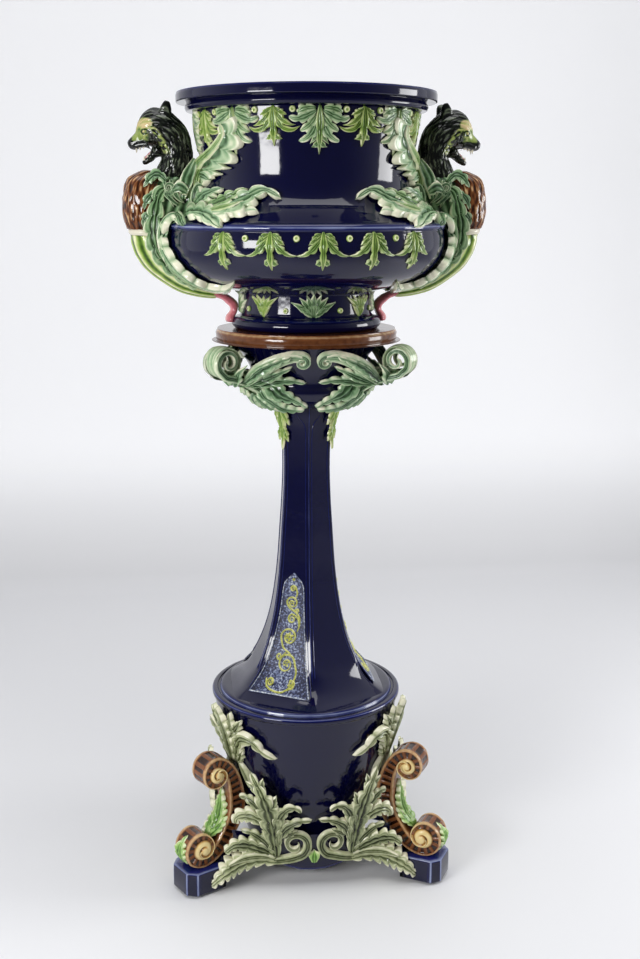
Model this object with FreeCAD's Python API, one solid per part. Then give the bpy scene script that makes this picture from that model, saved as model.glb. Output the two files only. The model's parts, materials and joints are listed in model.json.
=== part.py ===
"""Glazed earthenware jardiniere on its three-legged pedestal, in millimetres.

The pieces are the separately moulded clay parts that the potter lutes together
before firing. Everything is built about the vertical axis of the pot, with the
front at -Y, and is moved at the end so that the origin is the middle of the
floor area that the whole object covers.
"""
import FreeCAD, Part
import os
from math import acos, atan2, ceil, cos, hypot, pi, radians, remainder, sin

from FreeCAD import Vector

# ---------------------------------------------------------------- driving sizes
# Round forms are drawn with flat sides, and their curves with chords
POT_SIDES = 28
RELIEF_SIDES = 16           # of the face of the leaves beside the handles
STAND_SIDES = 24
BORE_SIDES = 12
CHORD_ERROR = 2.5           # how far a chord may lie inside its arc

# Tripod base
FOOT_REACH = 242.0          # front of a foot block, from the axis
FOOT_WIDTH = 66.0
FOOT_LENGTH = 74.0
FOOT_HEIGHT = 37.0
FOOT_CHAMFER = 13.0
LEG_WIDTH = 38.0            # across the scroll band
LEG_BAND = 27.0             # depth of the scroll band
TOP_VOLUTE_RADIUS = 20.0
TOP_VOLUTE_REACH = 182.0
TOP_VOLUTE_HEIGHT = 184.0
LOW_VOLUTE_RADIUS = 29.0
LOW_VOLUTE_REACH = 209.0
VOLUTE_EYE = 5.0            # how far a volute's eye stands out sideways
SHOULDER_RADIUS = 150.0
SHOULDER_HEIGHT = 285.0
SHOULDER_EDGE = 6.0         # rounding of the shoulder
DRUM_FOOT_RADIUS = 96.0
DRUM_FOOT_HEIGHT = 40.0
DRUM_WALL = 12.0
APRON_HEIGHT = 72.0
APRON_LIP = 14.0            # lowest point of the apron above the floor
APRON_RADIUS = 122.0        # front of the apron, from the axis
APRON_THICK = 12.0
APRON_RELIEF = 9.0
BOW_FACETS = 3              # flat facets in each half of a bowed plate
CREST_WIDTH = 66.0
CREST_HEIGHT = 78.0

# Six-sided column
COLUMN_HEIGHT = 458.5
COLUMN_FOOT_RADIUS = 133.0
COLUMN_WAIST_RADIUS = 41.0
COLUMN_NECK_RADIUS = 46.0
COLUMN_BORE = 23.0
FOOT_BEAD_WIDTH = 8.0
FOOT_BEAD_HEIGHT = 7.0
PANEL_DEPTH = 1.5
PANEL_HEIGHT = 183.0
PANEL_START = 12.0
PENDANT_LENGTH = 72.0
PENDANT_WIDTH = 26.0
PENDANT_RELIEF = 5.0

# Capital and dish
CAPITAL_HEIGHT = 100.0
CAPITAL_BULB_RADIUS = 84.0
CAPITAL_TOP_RADIUS = 112.0
CAPITAL_REACH = 175.0       # outside of a corner volute
CAPITAL_VOLUTE_RADIUS = 25.0
CAPITAL_VOLUTE_WIDTH = 34.0
SPRAY_THICK = 11.0
DISH_RADIUS = 137.0
DISH_THICK = 18.0
DISH_FILLET = 6.0

# Jardiniere
POT_HEIGHT = 338.5
POT_WALL = 11.0
TOE_RADIUS = 112.0
TOE_HEIGHT = 18.0
FOOT_NECK_RADIUS = 97.0
FOOT_RING_HEIGHT = 53.5
FOOT_BORE = 84.0
BELLY_RADIUS = 205.0
BELLY_HEIGHT = 130.0
LEDGE_SETBACK = 4.0         # ledge inside the belly
LEDGE_HEIGHT = 157.0
WAIST_RADIUS = 152.0
WAIST_HEIGHT = 220.0
NECK_FLARE = 10.0           # neck outside the waist
RIM_REACH = 28.3            # rim outside the neck
RIM_THICK = 14.0
RIM_EDGE = 4.0              # rounding of the rim's top edge
RIM_COLLAR = 12.5           # moulded collar under the rim
COLLAR_REACH = 15.0         # collar outside the neck

# Relief bands
UPPER_COUNT = 8
LOWER_PITCH = 20.0
FOOT_LEAF_COUNT = 9
LARGE_LEAF = (80.0, 56.0)   # width, height
SMALL_LEAF = (62.0, 46.0)
LOWER_LEAF = (60.0, 46.0)
FOOT_LEAF = (46.0, 30.0)
LEAF_RELIEF = 5.0
BOSS_RADIUS = 4.5
BOSS_RELIEF = 4.0
COVERED_ARC = 55.0          # lower leaves stop this far from a handle

# Handles
SPRAY_RELIEF = 8.0
CHEEK_INNER = 20.0          # handle leaves, from the handle's mid plane
CHEEK_OUTER = 37.0
EAR_SPREAD = 16.0
HANDLE_GIRTH = 205.0        # belly and waist radius, ledge, waist and height of the pot they are drawn on
HANDLE_WAIST = 152.0
HANDLE_LEDGE = 157.0
HANDLE_BEND = 220.0
HANDLE_TOP = 338.5

# ---------------------------------------------------------------- stacked heights
COLUMN_TOP = SHOULDER_HEIGHT + COLUMN_HEIGHT
DISH_BOTTOM = COLUMN_TOP + CAPITAL_HEIGHT
POT_BASE = DISH_BOTTOM + DISH_THICK
POT_TOP = POT_BASE + POT_HEIGHT
NECK_TOP = POT_TOP - RIM_THICK - RIM_COLLAR
BOWL_BOTTOM = POT_BASE + FOOT_RING_HEIGHT
LEDGE_RADIUS = BELLY_RADIUS - LEDGE_SETBACK
NECK_RADIUS = WAIST_RADIUS + NECK_FLARE
RIM_RADIUS = NECK_RADIUS + RIM_REACH
COLLAR_RADIUS = NECK_RADIUS + COLLAR_REACH
GIRTH_SCALE = BELLY_RADIUS / HANDLE_GIRTH
LEG_ANGLES = (60.0, 180.0, 300.0)
FACE_ANGLES = (0.0, 120.0, 240.0)
PANEL_ANGLES = (-30.0, 90.0, 210.0)
FAR = 400.0                 # beyond every piece
UP = Vector(0, 0, 1)
AXIS = Vector(0, 0, 0)

pieces = {}


# ---------------------------------------------------------------- small tools
def path(start, *runs):
    """Points in the X-Z plane: a tuple is a straight line to it, a list a chain of tangent arcs.

    A list may begin with the heading, in degrees from +X, at which its first arc leaves.
    """
    points = [start]
    heading = 0.0
    for run in runs:
        straight = isinstance(run, tuple)
        stops = [run] if straight else list(run)
        if not isinstance(stops[0], tuple):
            heading = radians(stops.pop(0))
        for stop in stops:
            x, z = points[-1]
            chord = atan2(stop[1] - z, stop[0] - x)
            lean = 0.0 if straight else remainder(chord - heading, 2 * pi)
            if abs(lean) > 0.02:
                radius = hypot(stop[0] - x, stop[1] - z) / (2 * sin(lean))
                step = acos(max(0.0, 1 - CHORD_ERROR / abs(radius)))
                count = ceil(abs(lean) / step)
                for k in range(1, count):
                    part = lean * k / count
                    reach = 2 * radius * sin(part)
                    points.append((x + reach * cos(heading + part), z + reach * sin(heading + part)))
            points.append(stop)
            heading = chord + lean
    return points


def turned(sides, start, *runs):
    """Closed outline of (radius, height) carried round the vertical axis in so many flat sides."""
    outline = path(start, *runs)
    turns = [2 * pi * k / sides for k in range(sides)]
    rings = [[(r * sin(a), -r * cos(a), z) for a in turns] for r, z in outline]
    faces = []
    for k, (radius, height) in enumerate(outline):
        low, high = rings[k - 1], rings[k]
        other, level = outline[k - 1]
        if abs(height - level) < 1e-6:
            discs = [Part.Face(polygon(ring)) for ring, r in ((low, other), (high, radius)) if r > 0]
            discs.sort(key=lambda disc: -disc.Area)
            faces.append(discs[0] if len(discs) == 1 else discs[0].cut(discs[1]).Faces[0])
            continue
        for j in range(sides if max(radius, other) > 0 else 0):
            corners = [low[j - 1], low[j]] if other > 0 else [low[j]]
            corners += [high[j], high[j - 1]] if radius > 0 else [high[j]]
            faces.append(Part.Face(polygon(corners)))
    return sewn(faces)


def sewn(faces):
    """Solid inside a closed set of flat faces."""
    shell = Part.Shell(faces)
    shell.sewShape()
    solid = Part.Solid(shell)
    if solid.Volume < 0:
        solid.reverse()
    return solid


def polygon(points):
    """Closed wire through three-dimensional points."""
    corners = [Vector(*p) for p in points]
    return Part.makePolygon(corners + [corners[0]])


def faceted(rings):
    """Solid with flat facets through rings of as many points each."""
    faces = [Part.Face(polygon(rings[0])), Part.Face(polygon(rings[-1]))]
    count = len(rings[0])
    for low, high in zip(rings, rings[1:]):
        for k in range(count):
            n = (k + 1) % count
            corners = [Vector(*p) for p in (low[k], low[n], high[n], high[k])]
            across = (corners[1] - corners[0]).cross(corners[2] - corners[0]).normalize()
            if abs(across.dot(corners[3] - corners[0])) < 1e-5:
                faces.append(Part.Face(polygon(corners)))
            else:
                faces.append(Part.Face(polygon(corners[:3])))
                faces.append(Part.Face(polygon([corners[0], corners[2], corners[3]])))
    return sewn(faces)


def front_prism(outline, near, far):
    """Outline of (x, z), seen from the front, as a prism from y = near to y = far."""
    face = Part.Face(polygon([(x, near, z) for x, z in outline]))
    return face.extrude(Vector(0, far - near, 0))


def side_prism(outline, width):
    """Outline of (x, z) as a prism of a given width across the X-Z plane."""
    return front_prism(outline, -width / 2, width / 2)


def facing(shape, azimuth):
    """Turn a shape built at the front so that it faces an azimuth, front 0, +X 90."""
    turned_shape = shape.copy()
    turned_shape.rotate(AXIS, UP, azimuth)
    return turned_shape


def out_along(shape, azimuth):
    """Turn a shape built along +X so that it points along an azimuth."""
    return facing(shape, azimuth - 90)


def coil(x, z, radius, width, sides):
    """Many-sided roll across the X-Z plane, centred on it."""
    turns = [2 * pi * k / sides for k in range(sides)]
    return side_prism([(x + radius * cos(a), z + radius * sin(a)) for a in turns], width)


def both_sides(half):
    """Half outline on +X, from one end of the middle line to the other, completed on -X."""
    return half + [(-x, z) for x, z in reversed(half) if x > 0]


def solids_of(shape):
    """The solids of a boolean result, without the slivers that a cut can leave."""
    return Part.makeCompound([s for s in shape.Solids if s.Volume > 20.0])


# ---------------------------------------------------------------- jardiniere
def bowl_outer(grow=0.0):
    """Outside of the bowl from the foot up: belly, bead of the ledge, then the hollow neck."""
    belly = POT_BASE + BELLY_HEIGHT
    ledge = POT_BASE + LEDGE_HEIGHT
    waist = POT_BASE + WAIST_HEIGHT
    under = belly - BOWL_BOTTOM
    flare = BELLY_RADIUS - FOOT_NECK_RADIUS
    neck = LEDGE_RADIUS - WAIST_RADIUS
    rise = waist - ledge
    spread = NECK_RADIUS - WAIST_RADIUS

    def out(radius, height):
        return (radius + grow, height)

    return [[6.0, out(FOOT_NECK_RADIUS + 0.72 * flare, BOWL_BOTTOM + 0.30 * under),
             out(BELLY_RADIUS - 0.02 * flare, BOWL_BOTTOM + 0.72 * under), out(BELLY_RADIUS, belly),
             out(LEDGE_RADIUS + 1, ledge - 12)],
            [60.0, out(LEDGE_RADIUS + 3, ledge - 5), out(LEDGE_RADIUS - 1, ledge)],
            [172.0, out(WAIST_RADIUS + 0.42 * neck, ledge + 0.20 * rise),
             out(WAIST_RADIUS + 0.08 * neck, ledge + 0.58 * rise), out(WAIST_RADIUS, waist),
             out(WAIST_RADIUS + 0.30 * spread, waist + 0.48 * (NECK_TOP - waist)), out(NECK_RADIUS, NECK_TOP)]]


def make_bowl():
    """Hollow bowl, and the filled copy that the relief pieces are cut from."""
    filled = turned(POT_SIDES, (0, BOWL_BOTTOM), (FOOT_NECK_RADIUS, BOWL_BOTTOM), *bowl_outer(), (0, NECK_TOP))
    floor = BOWL_BOTTOM + POT_WALL
    waist = WAIST_RADIUS - POT_WALL
    belly = BELLY_RADIUS - POT_WALL
    inside = turned(POT_SIDES, (0, floor), (FOOT_NECK_RADIUS, floor),
                    (belly - 32, floor + 22), (belly - 7, floor + 51), (belly, POT_BASE + BELLY_HEIGHT),
                    (LEDGE_RADIUS - POT_WALL - 6, POT_BASE + LEDGE_HEIGHT - 3),
                    (waist + 8, POT_BASE + WAIST_HEIGHT - 38), (waist, POT_BASE + WAIST_HEIGHT - 8),
                    (NECK_RADIUS - POT_WALL, NECK_TOP), (0, NECK_TOP))
    return filled, filled.cut(inside)


def make_rim():
    """Flat projecting rim over a half-round collar, open in the middle."""
    under = POT_TOP - RIM_THICK
    middle = (NECK_TOP + under) / 2
    bore = NECK_RADIUS - POT_WALL
    return turned(POT_SIDES, (bore, NECK_TOP), (COLLAR_RADIUS - 4, NECK_TOP), [45.0, (COLLAR_RADIUS, middle)],
                  (COLLAR_RADIUS - 2, under), (RIM_RADIUS, under), (RIM_RADIUS, POT_TOP - RIM_EDGE),
                  [90.0, (RIM_RADIUS - RIM_EDGE, POT_TOP)], (bore, POT_TOP))


def make_pot_foot():
    """Open foot ring with a rounded toe that stands in the dish."""
    toe = POT_BASE + TOE_HEIGHT
    seat = TOE_RADIUS - 8
    return turned(STAND_SIDES, (FOOT_BORE, POT_BASE), (seat, POT_BASE), [0.0, (seat, toe)], (seat - 2, toe),
                  [180.0, (FOOT_NECK_RADIUS, toe + 10)], (FOOT_NECK_RADIUS, BOWL_BOTTOM), (FOOT_BORE, BOWL_BOTTOM))


def relief_leaf(half, size, top, wall_top, wall_tip):
    """Lobed leaf with a raised midrib, at the front of a round wall and reaching into it.

    half holds the lobes of one side as shares of the half width and of the height.
    """
    width, height = size
    outline = both_sides([(x * width / 2, top - z * height) for x, z in half])
    drop = (width / 2) ** 2 / (2 * wall_top) + 0.45 * LEAF_RELIEF
    sections = []
    for wall, z in ((wall_top, top + 1), (wall_tip, top - height - 1)):
        front = -(wall + LEAF_RELIEF)
        back = -(wall - 0.3 * wall)
        sections.append([(0, front, z), (width / 2, front + drop, z), (width / 2, back, z),
                         (-width / 2, back, z), (-width / 2, front + drop, z)])
    roof = faceted(sections)
    return front_prism(outline, -FAR, 0).common(roof)


def boss(wall, height):
    """Small six-sided stud at the front of a wall and reaching into it."""
    rings = []
    for radius, depth in ((1.3 * BOSS_RADIUS, -4.0), (0.6 * BOSS_RADIUS, BOSS_RELIEF)):
        turns = [pi / 3 * k for k in range(6)]
        rings.append([(radius * cos(a), -(wall + depth), height + radius * sin(a)) for a in turns])
    return faceted(rings)


LARGE_LOBES = [(0.74, 0.0), (0.62, 0.17), (1.0, 0.33), (0.66, 0.47), (0.76, 0.68), (0.33, 0.74), (0.0, 1.0)]
SMALL_LOBES = [(0.20, 0.0), (0.40, 0.35), (1.0, 0.66), (0.33, 0.70), (0.0, 1.0)]
LOWER_LOBES = [(0.30, 0.0), (0.44, 0.34), (1.0, 0.66), (0.33, 0.72), (0.0, 1.0)]
FOOT_LOBES = [(0.55, 0.0), (1.0, 0.18), (0.70, 0.60), (0.27, 1.0)]


def ring_of(shape, azimuths, core):
    """Copies of a relief piece round the wall, without what lies inside the wall."""
    placed = [facing(shape, a).cut(core) for a in azimuths]
    return Part.makeCompound([max(p.Solids, key=lambda s: s.Volume) for p in placed])


def make_bands(core, pot_foot_core):
    """Leaf and stud bands of the neck, the belly and the foot."""
    pitch = 360.0 / UPPER_COUNT
    top = NECK_TOP - 1.0
    wall = NECK_RADIUS
    tip_wall = WAIST_RADIUS + 0.35 * (NECK_RADIUS - WAIST_RADIUS)
    large = relief_leaf(LARGE_LOBES, LARGE_LEAF, top, wall, tip_wall)
    small = relief_leaf(SMALL_LOBES, SMALL_LEAF, top, wall, tip_wall)
    stud = boss(wall - 1.0, top - 6)
    steps = [pitch * k for k in range(UPPER_COUNT)]
    pieces["upper_leaves_large"] = ring_of(large, steps, core)
    pieces["upper_leaves_small"] = ring_of(small, [a + pitch / 2 for a in steps], core)
    pieces["upper_studs"] = ring_of(stud, [a + pitch * q for a in steps for q in (0.29, 0.71)], core)

    top = POT_BASE + LEDGE_HEIGHT - 12
    low = relief_leaf(LOWER_LOBES, LOWER_LEAF, top, LEDGE_RADIUS + 2, BELLY_RADIUS - 5)
    stud = boss(LEDGE_RADIUS + 2, top - 9)
    reach = int((90.0 - COVERED_ARC / 2) // LOWER_PITCH)
    front = [LOWER_PITCH * k for k in range(-reach + 1, reach)]
    pieces["lower_leaves"] = ring_of(low, front + [a + 180 for a in front], core)
    between = [LOWER_PITCH * (k + 0.5) for k in range(-reach + 1, reach - 1)]
    pieces["lower_studs"] = ring_of(stud, between + [a + 180 for a in between], core)

    pitch = 360.0 / FOOT_LEAF_COUNT
    top = BOWL_BOTTOM - 2
    leaf = relief_leaf(FOOT_LOBES, FOOT_LEAF, top, FOOT_NECK_RADIUS, FOOT_NECK_RADIUS)
    stud = boss(FOOT_NECK_RADIUS, top - 22)
    steps = [pitch * k for k in range(FOOT_LEAF_COUNT)]
    pieces["foot_leaves"] = ring_of(leaf, steps, pot_foot_core)
    pieces["foot_studs"] = ring_of(stud, [a + pitch / 2 for a in steps], pot_foot_core)


# ---------------------------------------------------------------- handles
def on_handle(x, z):
    """Place of a handle's drawn point on this pot: radius by belly and waist, height by ledge and rim."""
    radius = x * GIRTH_SCALE
    if z > HANDLE_LEDGE:
        share = (z - HANDLE_LEDGE) / (HANDLE_TOP - HANDLE_LEDGE)
        height = LEDGE_HEIGHT + share * (POT_HEIGHT - LEDGE_HEIGHT)
        bend = (z - HANDLE_LEDGE) / (HANDLE_BEND - HANDLE_LEDGE)
        radius += min(1.0, bend) * (WAIST_RADIUS - HANDLE_WAIST)
    else:
        height = z * LEDGE_HEIGHT / HANDLE_LEDGE
    return radius, POT_BASE + height


def limb(stations, sides=8):
    """Loft through flattened round sections along a centre line of the handle.

    A station is x, z, lean of the section in degrees from +X, half depth, half width.
    """
    rings = []
    for radius, height, lean, depth, width in stations:
        ring = []
        for k in range(sides):
            turn = 2 * pi * (k + 0.5) / sides
            out = depth * cos(turn)
            x, z = on_handle(radius + out * cos(radians(lean)), height + out * sin(radians(lean)))
            ring.append((x, width * GIRTH_SCALE * sin(turn), z))
        rings.append(ring)
    return faceted(rings)


def make_handle(core, foot_core):
    """Bear-headed handle built on +X: its pieces by short name, and the leaves on its front side."""
    head = limb([(200, 212, 12, 25, 28), (192, 242, 0, 26, 25), (197, 268, -12, 27, 26), (204, 286, -38, 28, 26),
                 (223, 290, -76, 25, 24), (238, 278, -122, 17, 17), (249, 271, -122, 11, 12), (258, 266, -122, 7, 8)])
    jaw = limb([(210, 259, 59, 12, 14), (224, 251, 59, 8, 10), (237, 242, 59, 5, 6)], 6)
    head = head.fuse(jaw)
    for side in (-1, 1):
        ear = limb([(208, 299, 0, 10, 7), (203, 326, 0, 2, 1.5)], 4)
        ear.translate(Vector(0, side * EAR_SPREAD * GIRTH_SCALE, 0))
        head = head.fuse(ear)
    chest = limb([(235, 143, 8, 29, 30), (240, 165, 3, 32, 33), (240, 187, 8, 32, 33), (236, 204, 22, 32, 31),
                  (222, 217, 38, 24, 24)])
    collar = limb([(233, 137, 8, 30, 31.5), (235, 143, 8, 30.5, 31.5)])
    body = limb([(233, 137, 8, 29, 29), (230, 118, -15, 27, 28), (220, 100, -38, 24, 26), (202, 82, -58, 19, 23),
                 (172, 65, -72, 15, 19), (138, 56, -85, 10, 15)])
    paw = limb([(138, 56, -85, 10, 13), (121, 42, -65, 9, 12), (109, 28, -20, 8, 12), (114, 11, 15, 7, 15)])
    head = head.cut(chest).cut(core)
    chest = chest.cut(core)
    collar = collar.cut(core)
    body = body.cut(core)
    paw = paw.cut(core).cut(foot_core).cut(body)
    cheek = [(204, 226), (221, 223), (239, 204), (228, 190), (240, 163), (236, 135), (224, 98), (206, 80),
             (188, 68), (158, 57), (206, 128), (209, 150), (188, 176), (178, 208)]
    arms = [(118, 284), (100, 268), (110, 254), (107, 236), (134, 211), (146, 214), (150, 200), (140, 190),
            (124, 203), (117, 190), (97, 202), (90, 192), (76, 204), (52, 187), (70, 188), (84, 175), (138, 157),
            (152, 160), (162, 139), (184, 121), (165, 102), (138, 92), (118, 79), (160, 56), (206, 62),
            (206, 226), (160, 230), (134, 251), (124, 270)]
    spray = front_prism([on_handle(x, z) for x, z in arms], -FAR, -8.0).common(pot_skin(SPRAY_RELIEF)).cut(core)
    flap = front_prism([on_handle(x, z) for x, z in cheek], -CHEEK_OUTER * GIRTH_SCALE,
                       -CHEEK_INNER * GIRTH_SCALE).cut(core)
    return {"bear_head": head, "chest": chest, "collar": collar, "body": body, "paw": paw}, spray.fuse(flap)


def pot_skin(relief):
    """The filled bowl grown outwards by the height of the relief."""
    return turned(RELIEF_SIDES, (0, BOWL_BOTTOM - 2), (FOOT_NECK_RADIUS + relief, BOWL_BOTTOM - 2),
                  (FOOT_NECK_RADIUS + relief, BOWL_BOTTOM), *bowl_outer(relief), (0, NECK_TOP))


# ---------------------------------------------------------------- base
def make_drum():
    """Bell-shaped drum under the column, hollow and open below."""
    h = SHOULDER_HEIGHT
    low = DRUM_FOOT_HEIGHT
    r = SHOULDER_RADIUS
    span = h - low
    slim = r - DRUM_FOOT_RADIUS
    edge = SHOULDER_EDGE
    filled = turned(STAND_SIDES, (0, h), (r - edge, h), [0.0, (r, h - edge)],
                    [270.0, (r - 0.17 * slim, h - 0.30 * span), (r - 0.62 * slim, h - 0.66 * span)],
                    (DRUM_FOOT_RADIUS, low), (0, low))
    w = DRUM_WALL
    inside = turned(STAND_SIDES, (0, h - w), (r - w - 4, h - w), (r - w - 0.62 * slim, h - 0.66 * span),
                    (DRUM_FOOT_RADIUS - w, low), (0, low))
    hole = COLUMN_FOOT_RADIUS - 4 * w
    opening = turned(STAND_SIDES, (0, h - w - 1), (hole, h - w - 1), (hole, h + w), (0, h + w))
    return filled, filled.cut(inside).cut(opening)


def leg_outline():
    """Side view of the C-shaped leg band, from the top volute down to the low one."""
    low_height = FOOT_HEIGHT + LOW_VOLUTE_RADIUS
    top = (TOP_VOLUTE_REACH, TOP_VOLUTE_HEIGHT)
    low = (LOW_VOLUTE_REACH, low_height)
    middle = (top[1] + low[1]) / 2 + 4
    back = TOP_VOLUTE_REACH - TOP_VOLUTE_RADIUS - LEG_BAND - 6
    outer = [(top[0] + 4, top[1] + TOP_VOLUTE_RADIUS), (top[0] - 20, top[1] + 17), (back + 11, top[1] - 6),
             (back, middle + 8), (back + 4, middle - 22), (back + 22, low[1] - 2), (low[0] - 22, FOOT_HEIGHT + 2),
             (low[0], FOOT_HEIGHT)]
    inner = [(low[0] - 6, low[1] + 4), (low[0] - 26, low[1] + 18), (back + LEG_BAND + 5, middle - 20),
             (back + LEG_BAND - 1, middle + 6), (back + LEG_BAND + 6, top[1] - 18), (top[0] - 4, top[1] - 6)]
    return outer + inner, top, low


def make_leg(drum):
    """C-scroll leg on +X: a band that ends in two volutes with raised eyes."""
    outline, top, low = leg_outline()
    leg = side_prism(outline, LEG_WIDTH)
    for (x, z), radius in ((top, TOP_VOLUTE_RADIUS), (low, LOW_VOLUTE_RADIUS)):
        leg = leg.fuse(coil(x, z, radius, LEG_WIDTH, 14))
        leg = leg.fuse(coil(x, z - 1, 0.45 * radius, LEG_WIDTH + 2 * VOLUTE_EYE, 8))
    return leg.cut(drum)


def make_foot_block(leg):
    """Low block with its two front corners cut off, under the low volute."""
    half = FOOT_WIDTH / 2
    back = FOOT_REACH - FOOT_LENGTH
    cut = FOOT_CHAMFER
    plan = [(FOOT_REACH, half - cut), (FOOT_REACH - cut, half), (back, half), (back, -half),
            (FOOT_REACH - cut, -half), (FOOT_REACH, cut - half)]
    block = Part.Face(polygon([(x, y, 0) for x, y in plan])).extrude(Vector(0, 0, FOOT_HEIGHT))
    return block.cut(leg)


def bowed_plate(sections, thickness):
    """Plate bowed round the front: each section is half width, radius in the middle, bow, height."""
    rings = []
    shares = [k / BOW_FACETS - 1 for k in range(2 * BOW_FACETS + 1)]
    for half, middle, bow, z in sections:
        outer = [(half * s, -(middle - bow * s * s), z) for s in shares]
        inner = [(half * s, -(middle - thickness - bow * s * s), z) for s in reversed(shares)]
        rings.append(outer + inner)
    return faceted(rings)


def make_apron(drum, legs_and_feet):
    """Arched apron between two legs, with a carved spray of leaves and scrolls on its face."""
    reach = (FOOT_REACH - FOOT_LENGTH) * sin(radians(60))
    corner = (FOOT_REACH - FOOT_LENGTH) * cos(radians(60))
    bow = APRON_RADIUS - corner
    top = APRON_HEIGHT
    plate = bowed_plate([(reach, APRON_RADIUS, bow, 0), (reach, APRON_RADIUS, bow, top)], APRON_THICK)
    arch = [(-reach - 5, 0), (-reach + 18, 0), (-reach + 40, 22), (-0.42 * reach, 34), (-0.26 * reach, APRON_LIP + 6),
            (0, APRON_LIP), (0.26 * reach, APRON_LIP + 6), (0.42 * reach, 34), (reach - 40, 22), (reach - 18, 0),
            (reach + 5, 0), (reach + 5, top), (-reach - 5, top)]
    apron = plate.common(front_prism(arch, -FAR, 0)).cut(drum)
    face = bowed_plate([(reach + 4, APRON_RADIUS + APRON_RELIEF, bow, 4),
                        (reach + 4, APRON_RADIUS + APRON_RELIEF, bow, 152)], APRON_RELIEF + 24)
    half = [(0, 44), (12, 26), (44, 24), (62, 34), (112, 26), (138, 22), (146, 34), (128, 44),
            (100, 66), (108, 82), (92, 88), (98, 112), (82, 148), (58, 120),
            (62, 104), (28, 98), (38, 80), (0, 74)]
    outline = both_sides(half)
    leaves = face.common(front_prism(outline, -FAR, 0)).cut(apron).cut(drum)
    edge = (FAR * sin(radians(60)), -FAR * cos(radians(60)), -1)
    third = Part.Face(polygon([(0, 0, -1), edge, (-edge[0], edge[1], -1)])).extrude(Vector(0, 0, FAR))
    apron = apron.common(third)
    leaves = leaves.common(third)
    for taken in legs_and_feet:
        apron = apron.cut(taken)
        leaves = leaves.cut(taken)
    return solids_of(apron), solids_of(leaves)


def make_crest(drum, leg):
    """Upright leaf that climbs the drum above a leg and curls out at its tip."""
    low = TOP_VOLUTE_HEIGHT + 0.4 * TOP_VOLUTE_RADIUS
    top = low + CREST_HEIGHT + 14
    half = CREST_WIDTH / 2
    front = [(0.35 * half, low), (0.5 * half, low + 18), (half, low + 28), (0.62 * half, low + 40),
             (0.9 * half, low + 58), (0.5 * half, low + 62), (0.42 * half, top - 8), (0, top)]
    outline = both_sides(front)
    r = SHOULDER_RADIUS
    side = [(r - 30, low), (r + 12, low), (r + 9, low + 24), (r + 13, low + 56), (r + 23, top - 6), (r + 15, top),
            (r + 2, top - 22), (r - 30, low + 46)]
    leaf = side_prism(side, CREST_WIDTH + 2)
    across = facing(front_prism(outline, -FAR, 0), 90)
    return max(leaf.common(across).cut(drum).cut(leg).Solids, key=lambda s: s.Volume)


def make_shin_leaf(leg, block):
    """Small leaf lying in the lower curve of the leg."""
    outline, top, low = leg_outline()
    middle = (top[1] + low[1]) / 2
    x = TOP_VOLUTE_REACH - TOP_VOLUTE_RADIUS
    side = [(x - 8, middle + 4), (x + 2, middle), (x + 12, middle - 22), (low[0] - 16, low[1] + 22),
            (low[0] - 26, low[1] + 8), (x - 6, middle - 30)]
    return max(side_prism(side, 0.72 * LEG_WIDTH).cut(leg).cut(block).Solids, key=lambda s: s.Volume)


# ---------------------------------------------------------------- column
def column_side(inset=0.0):
    """Everything behind one of the column's six hollow sides, the one that faces +X."""
    start = SHOULDER_HEIGHT + FOOT_BEAD_HEIGHT
    rise = COLUMN_TOP - start
    slim = COLUMN_WAIST_RADIUS * cos(pi / 6) - inset
    foot = COLUMN_FOOT_RADIUS - inset
    spread = foot - slim
    outline = path((-FAR, start), (foot, start),
                   [160.0, (slim + 0.47 * spread, start + 0.095 * rise), (slim + 0.235 * spread, start + 0.217 * rise),
                    (slim + 0.073 * spread, start + 0.46 * rise), (slim, start + 0.74 * rise),
                    (COLUMN_NECK_RADIUS * cos(pi / 6) - inset, COLUMN_TOP)],
                   (-FAR, COLUMN_TOP))
    return side_prism(outline, 2 * FAR)


def make_column():
    """Hollow six-sided column on a round skirt, with three sunk panels, and its foot bead."""
    r = COLUMN_FOOT_RADIUS
    bottom = SHOULDER_HEIGHT
    bead_top = bottom + FOOT_BEAD_HEIGHT
    rise = COLUMN_TOP - bead_top
    outer = turned(STAND_SIDES, (0, bead_top), (r, bead_top), [155.0, (0.73 * r, bead_top + 0.085 * rise)],
                   (0.73 * r, COLUMN_TOP), (0, COLUMN_TOP))
    for k in range(6):
        outer = outer.common(out_along(column_side(), 30 + 60 * k))
    edge = r + FOOT_BEAD_WIDTH / 2
    bead = turned(STAND_SIDES, (r - 20, bottom), (edge, bottom), [90.0, (r - 1, bead_top)], (r - 20, bead_top))
    skirt = r - 22
    inside = turned(BORE_SIDES, (0, bottom - 1), (skirt, bottom - 1), (skirt, bead_top + 1),
                    (COLUMN_BORE + 0.38 * (skirt - COLUMN_BORE), bead_top + 0.1 * rise),
                    (COLUMN_BORE, bead_top + 0.4 * rise), (COLUMN_BORE, COLUMN_TOP + 1), (0, COLUMN_TOP + 1))
    shaft = outer.cut(inside).fuse(bead.cut(inside))
    low = bead_top + PANEL_START
    wide = 0.5 * (r - 2 * PANEL_START)
    narrow = 0.26 * COLUMN_WAIST_RADIUS
    half = [(wide, low), (0.62 * wide, low + 0.17 * PANEL_HEIGHT), (0.36 * wide, low + 0.42 * PANEL_HEIGHT),
            (narrow + 2, low + 0.8 * PANEL_HEIGHT), (narrow, low + 0.92 * PANEL_HEIGHT), (0, low + PANEL_HEIGHT)]
    window = facing(front_prism(both_sides(half), -FAR, 0), 90)
    behind = column_side(PANEL_DEPTH)
    for number, azimuth in enumerate(PANEL_ANGLES):
        panel = outer.common(out_along(window, azimuth)).cut(out_along(behind, azimuth))
        shaft = shaft.cut(panel)
        pieces["column_panel_%d" % (number + 1)] = solids_of(panel)
    return outer, shaft


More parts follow.
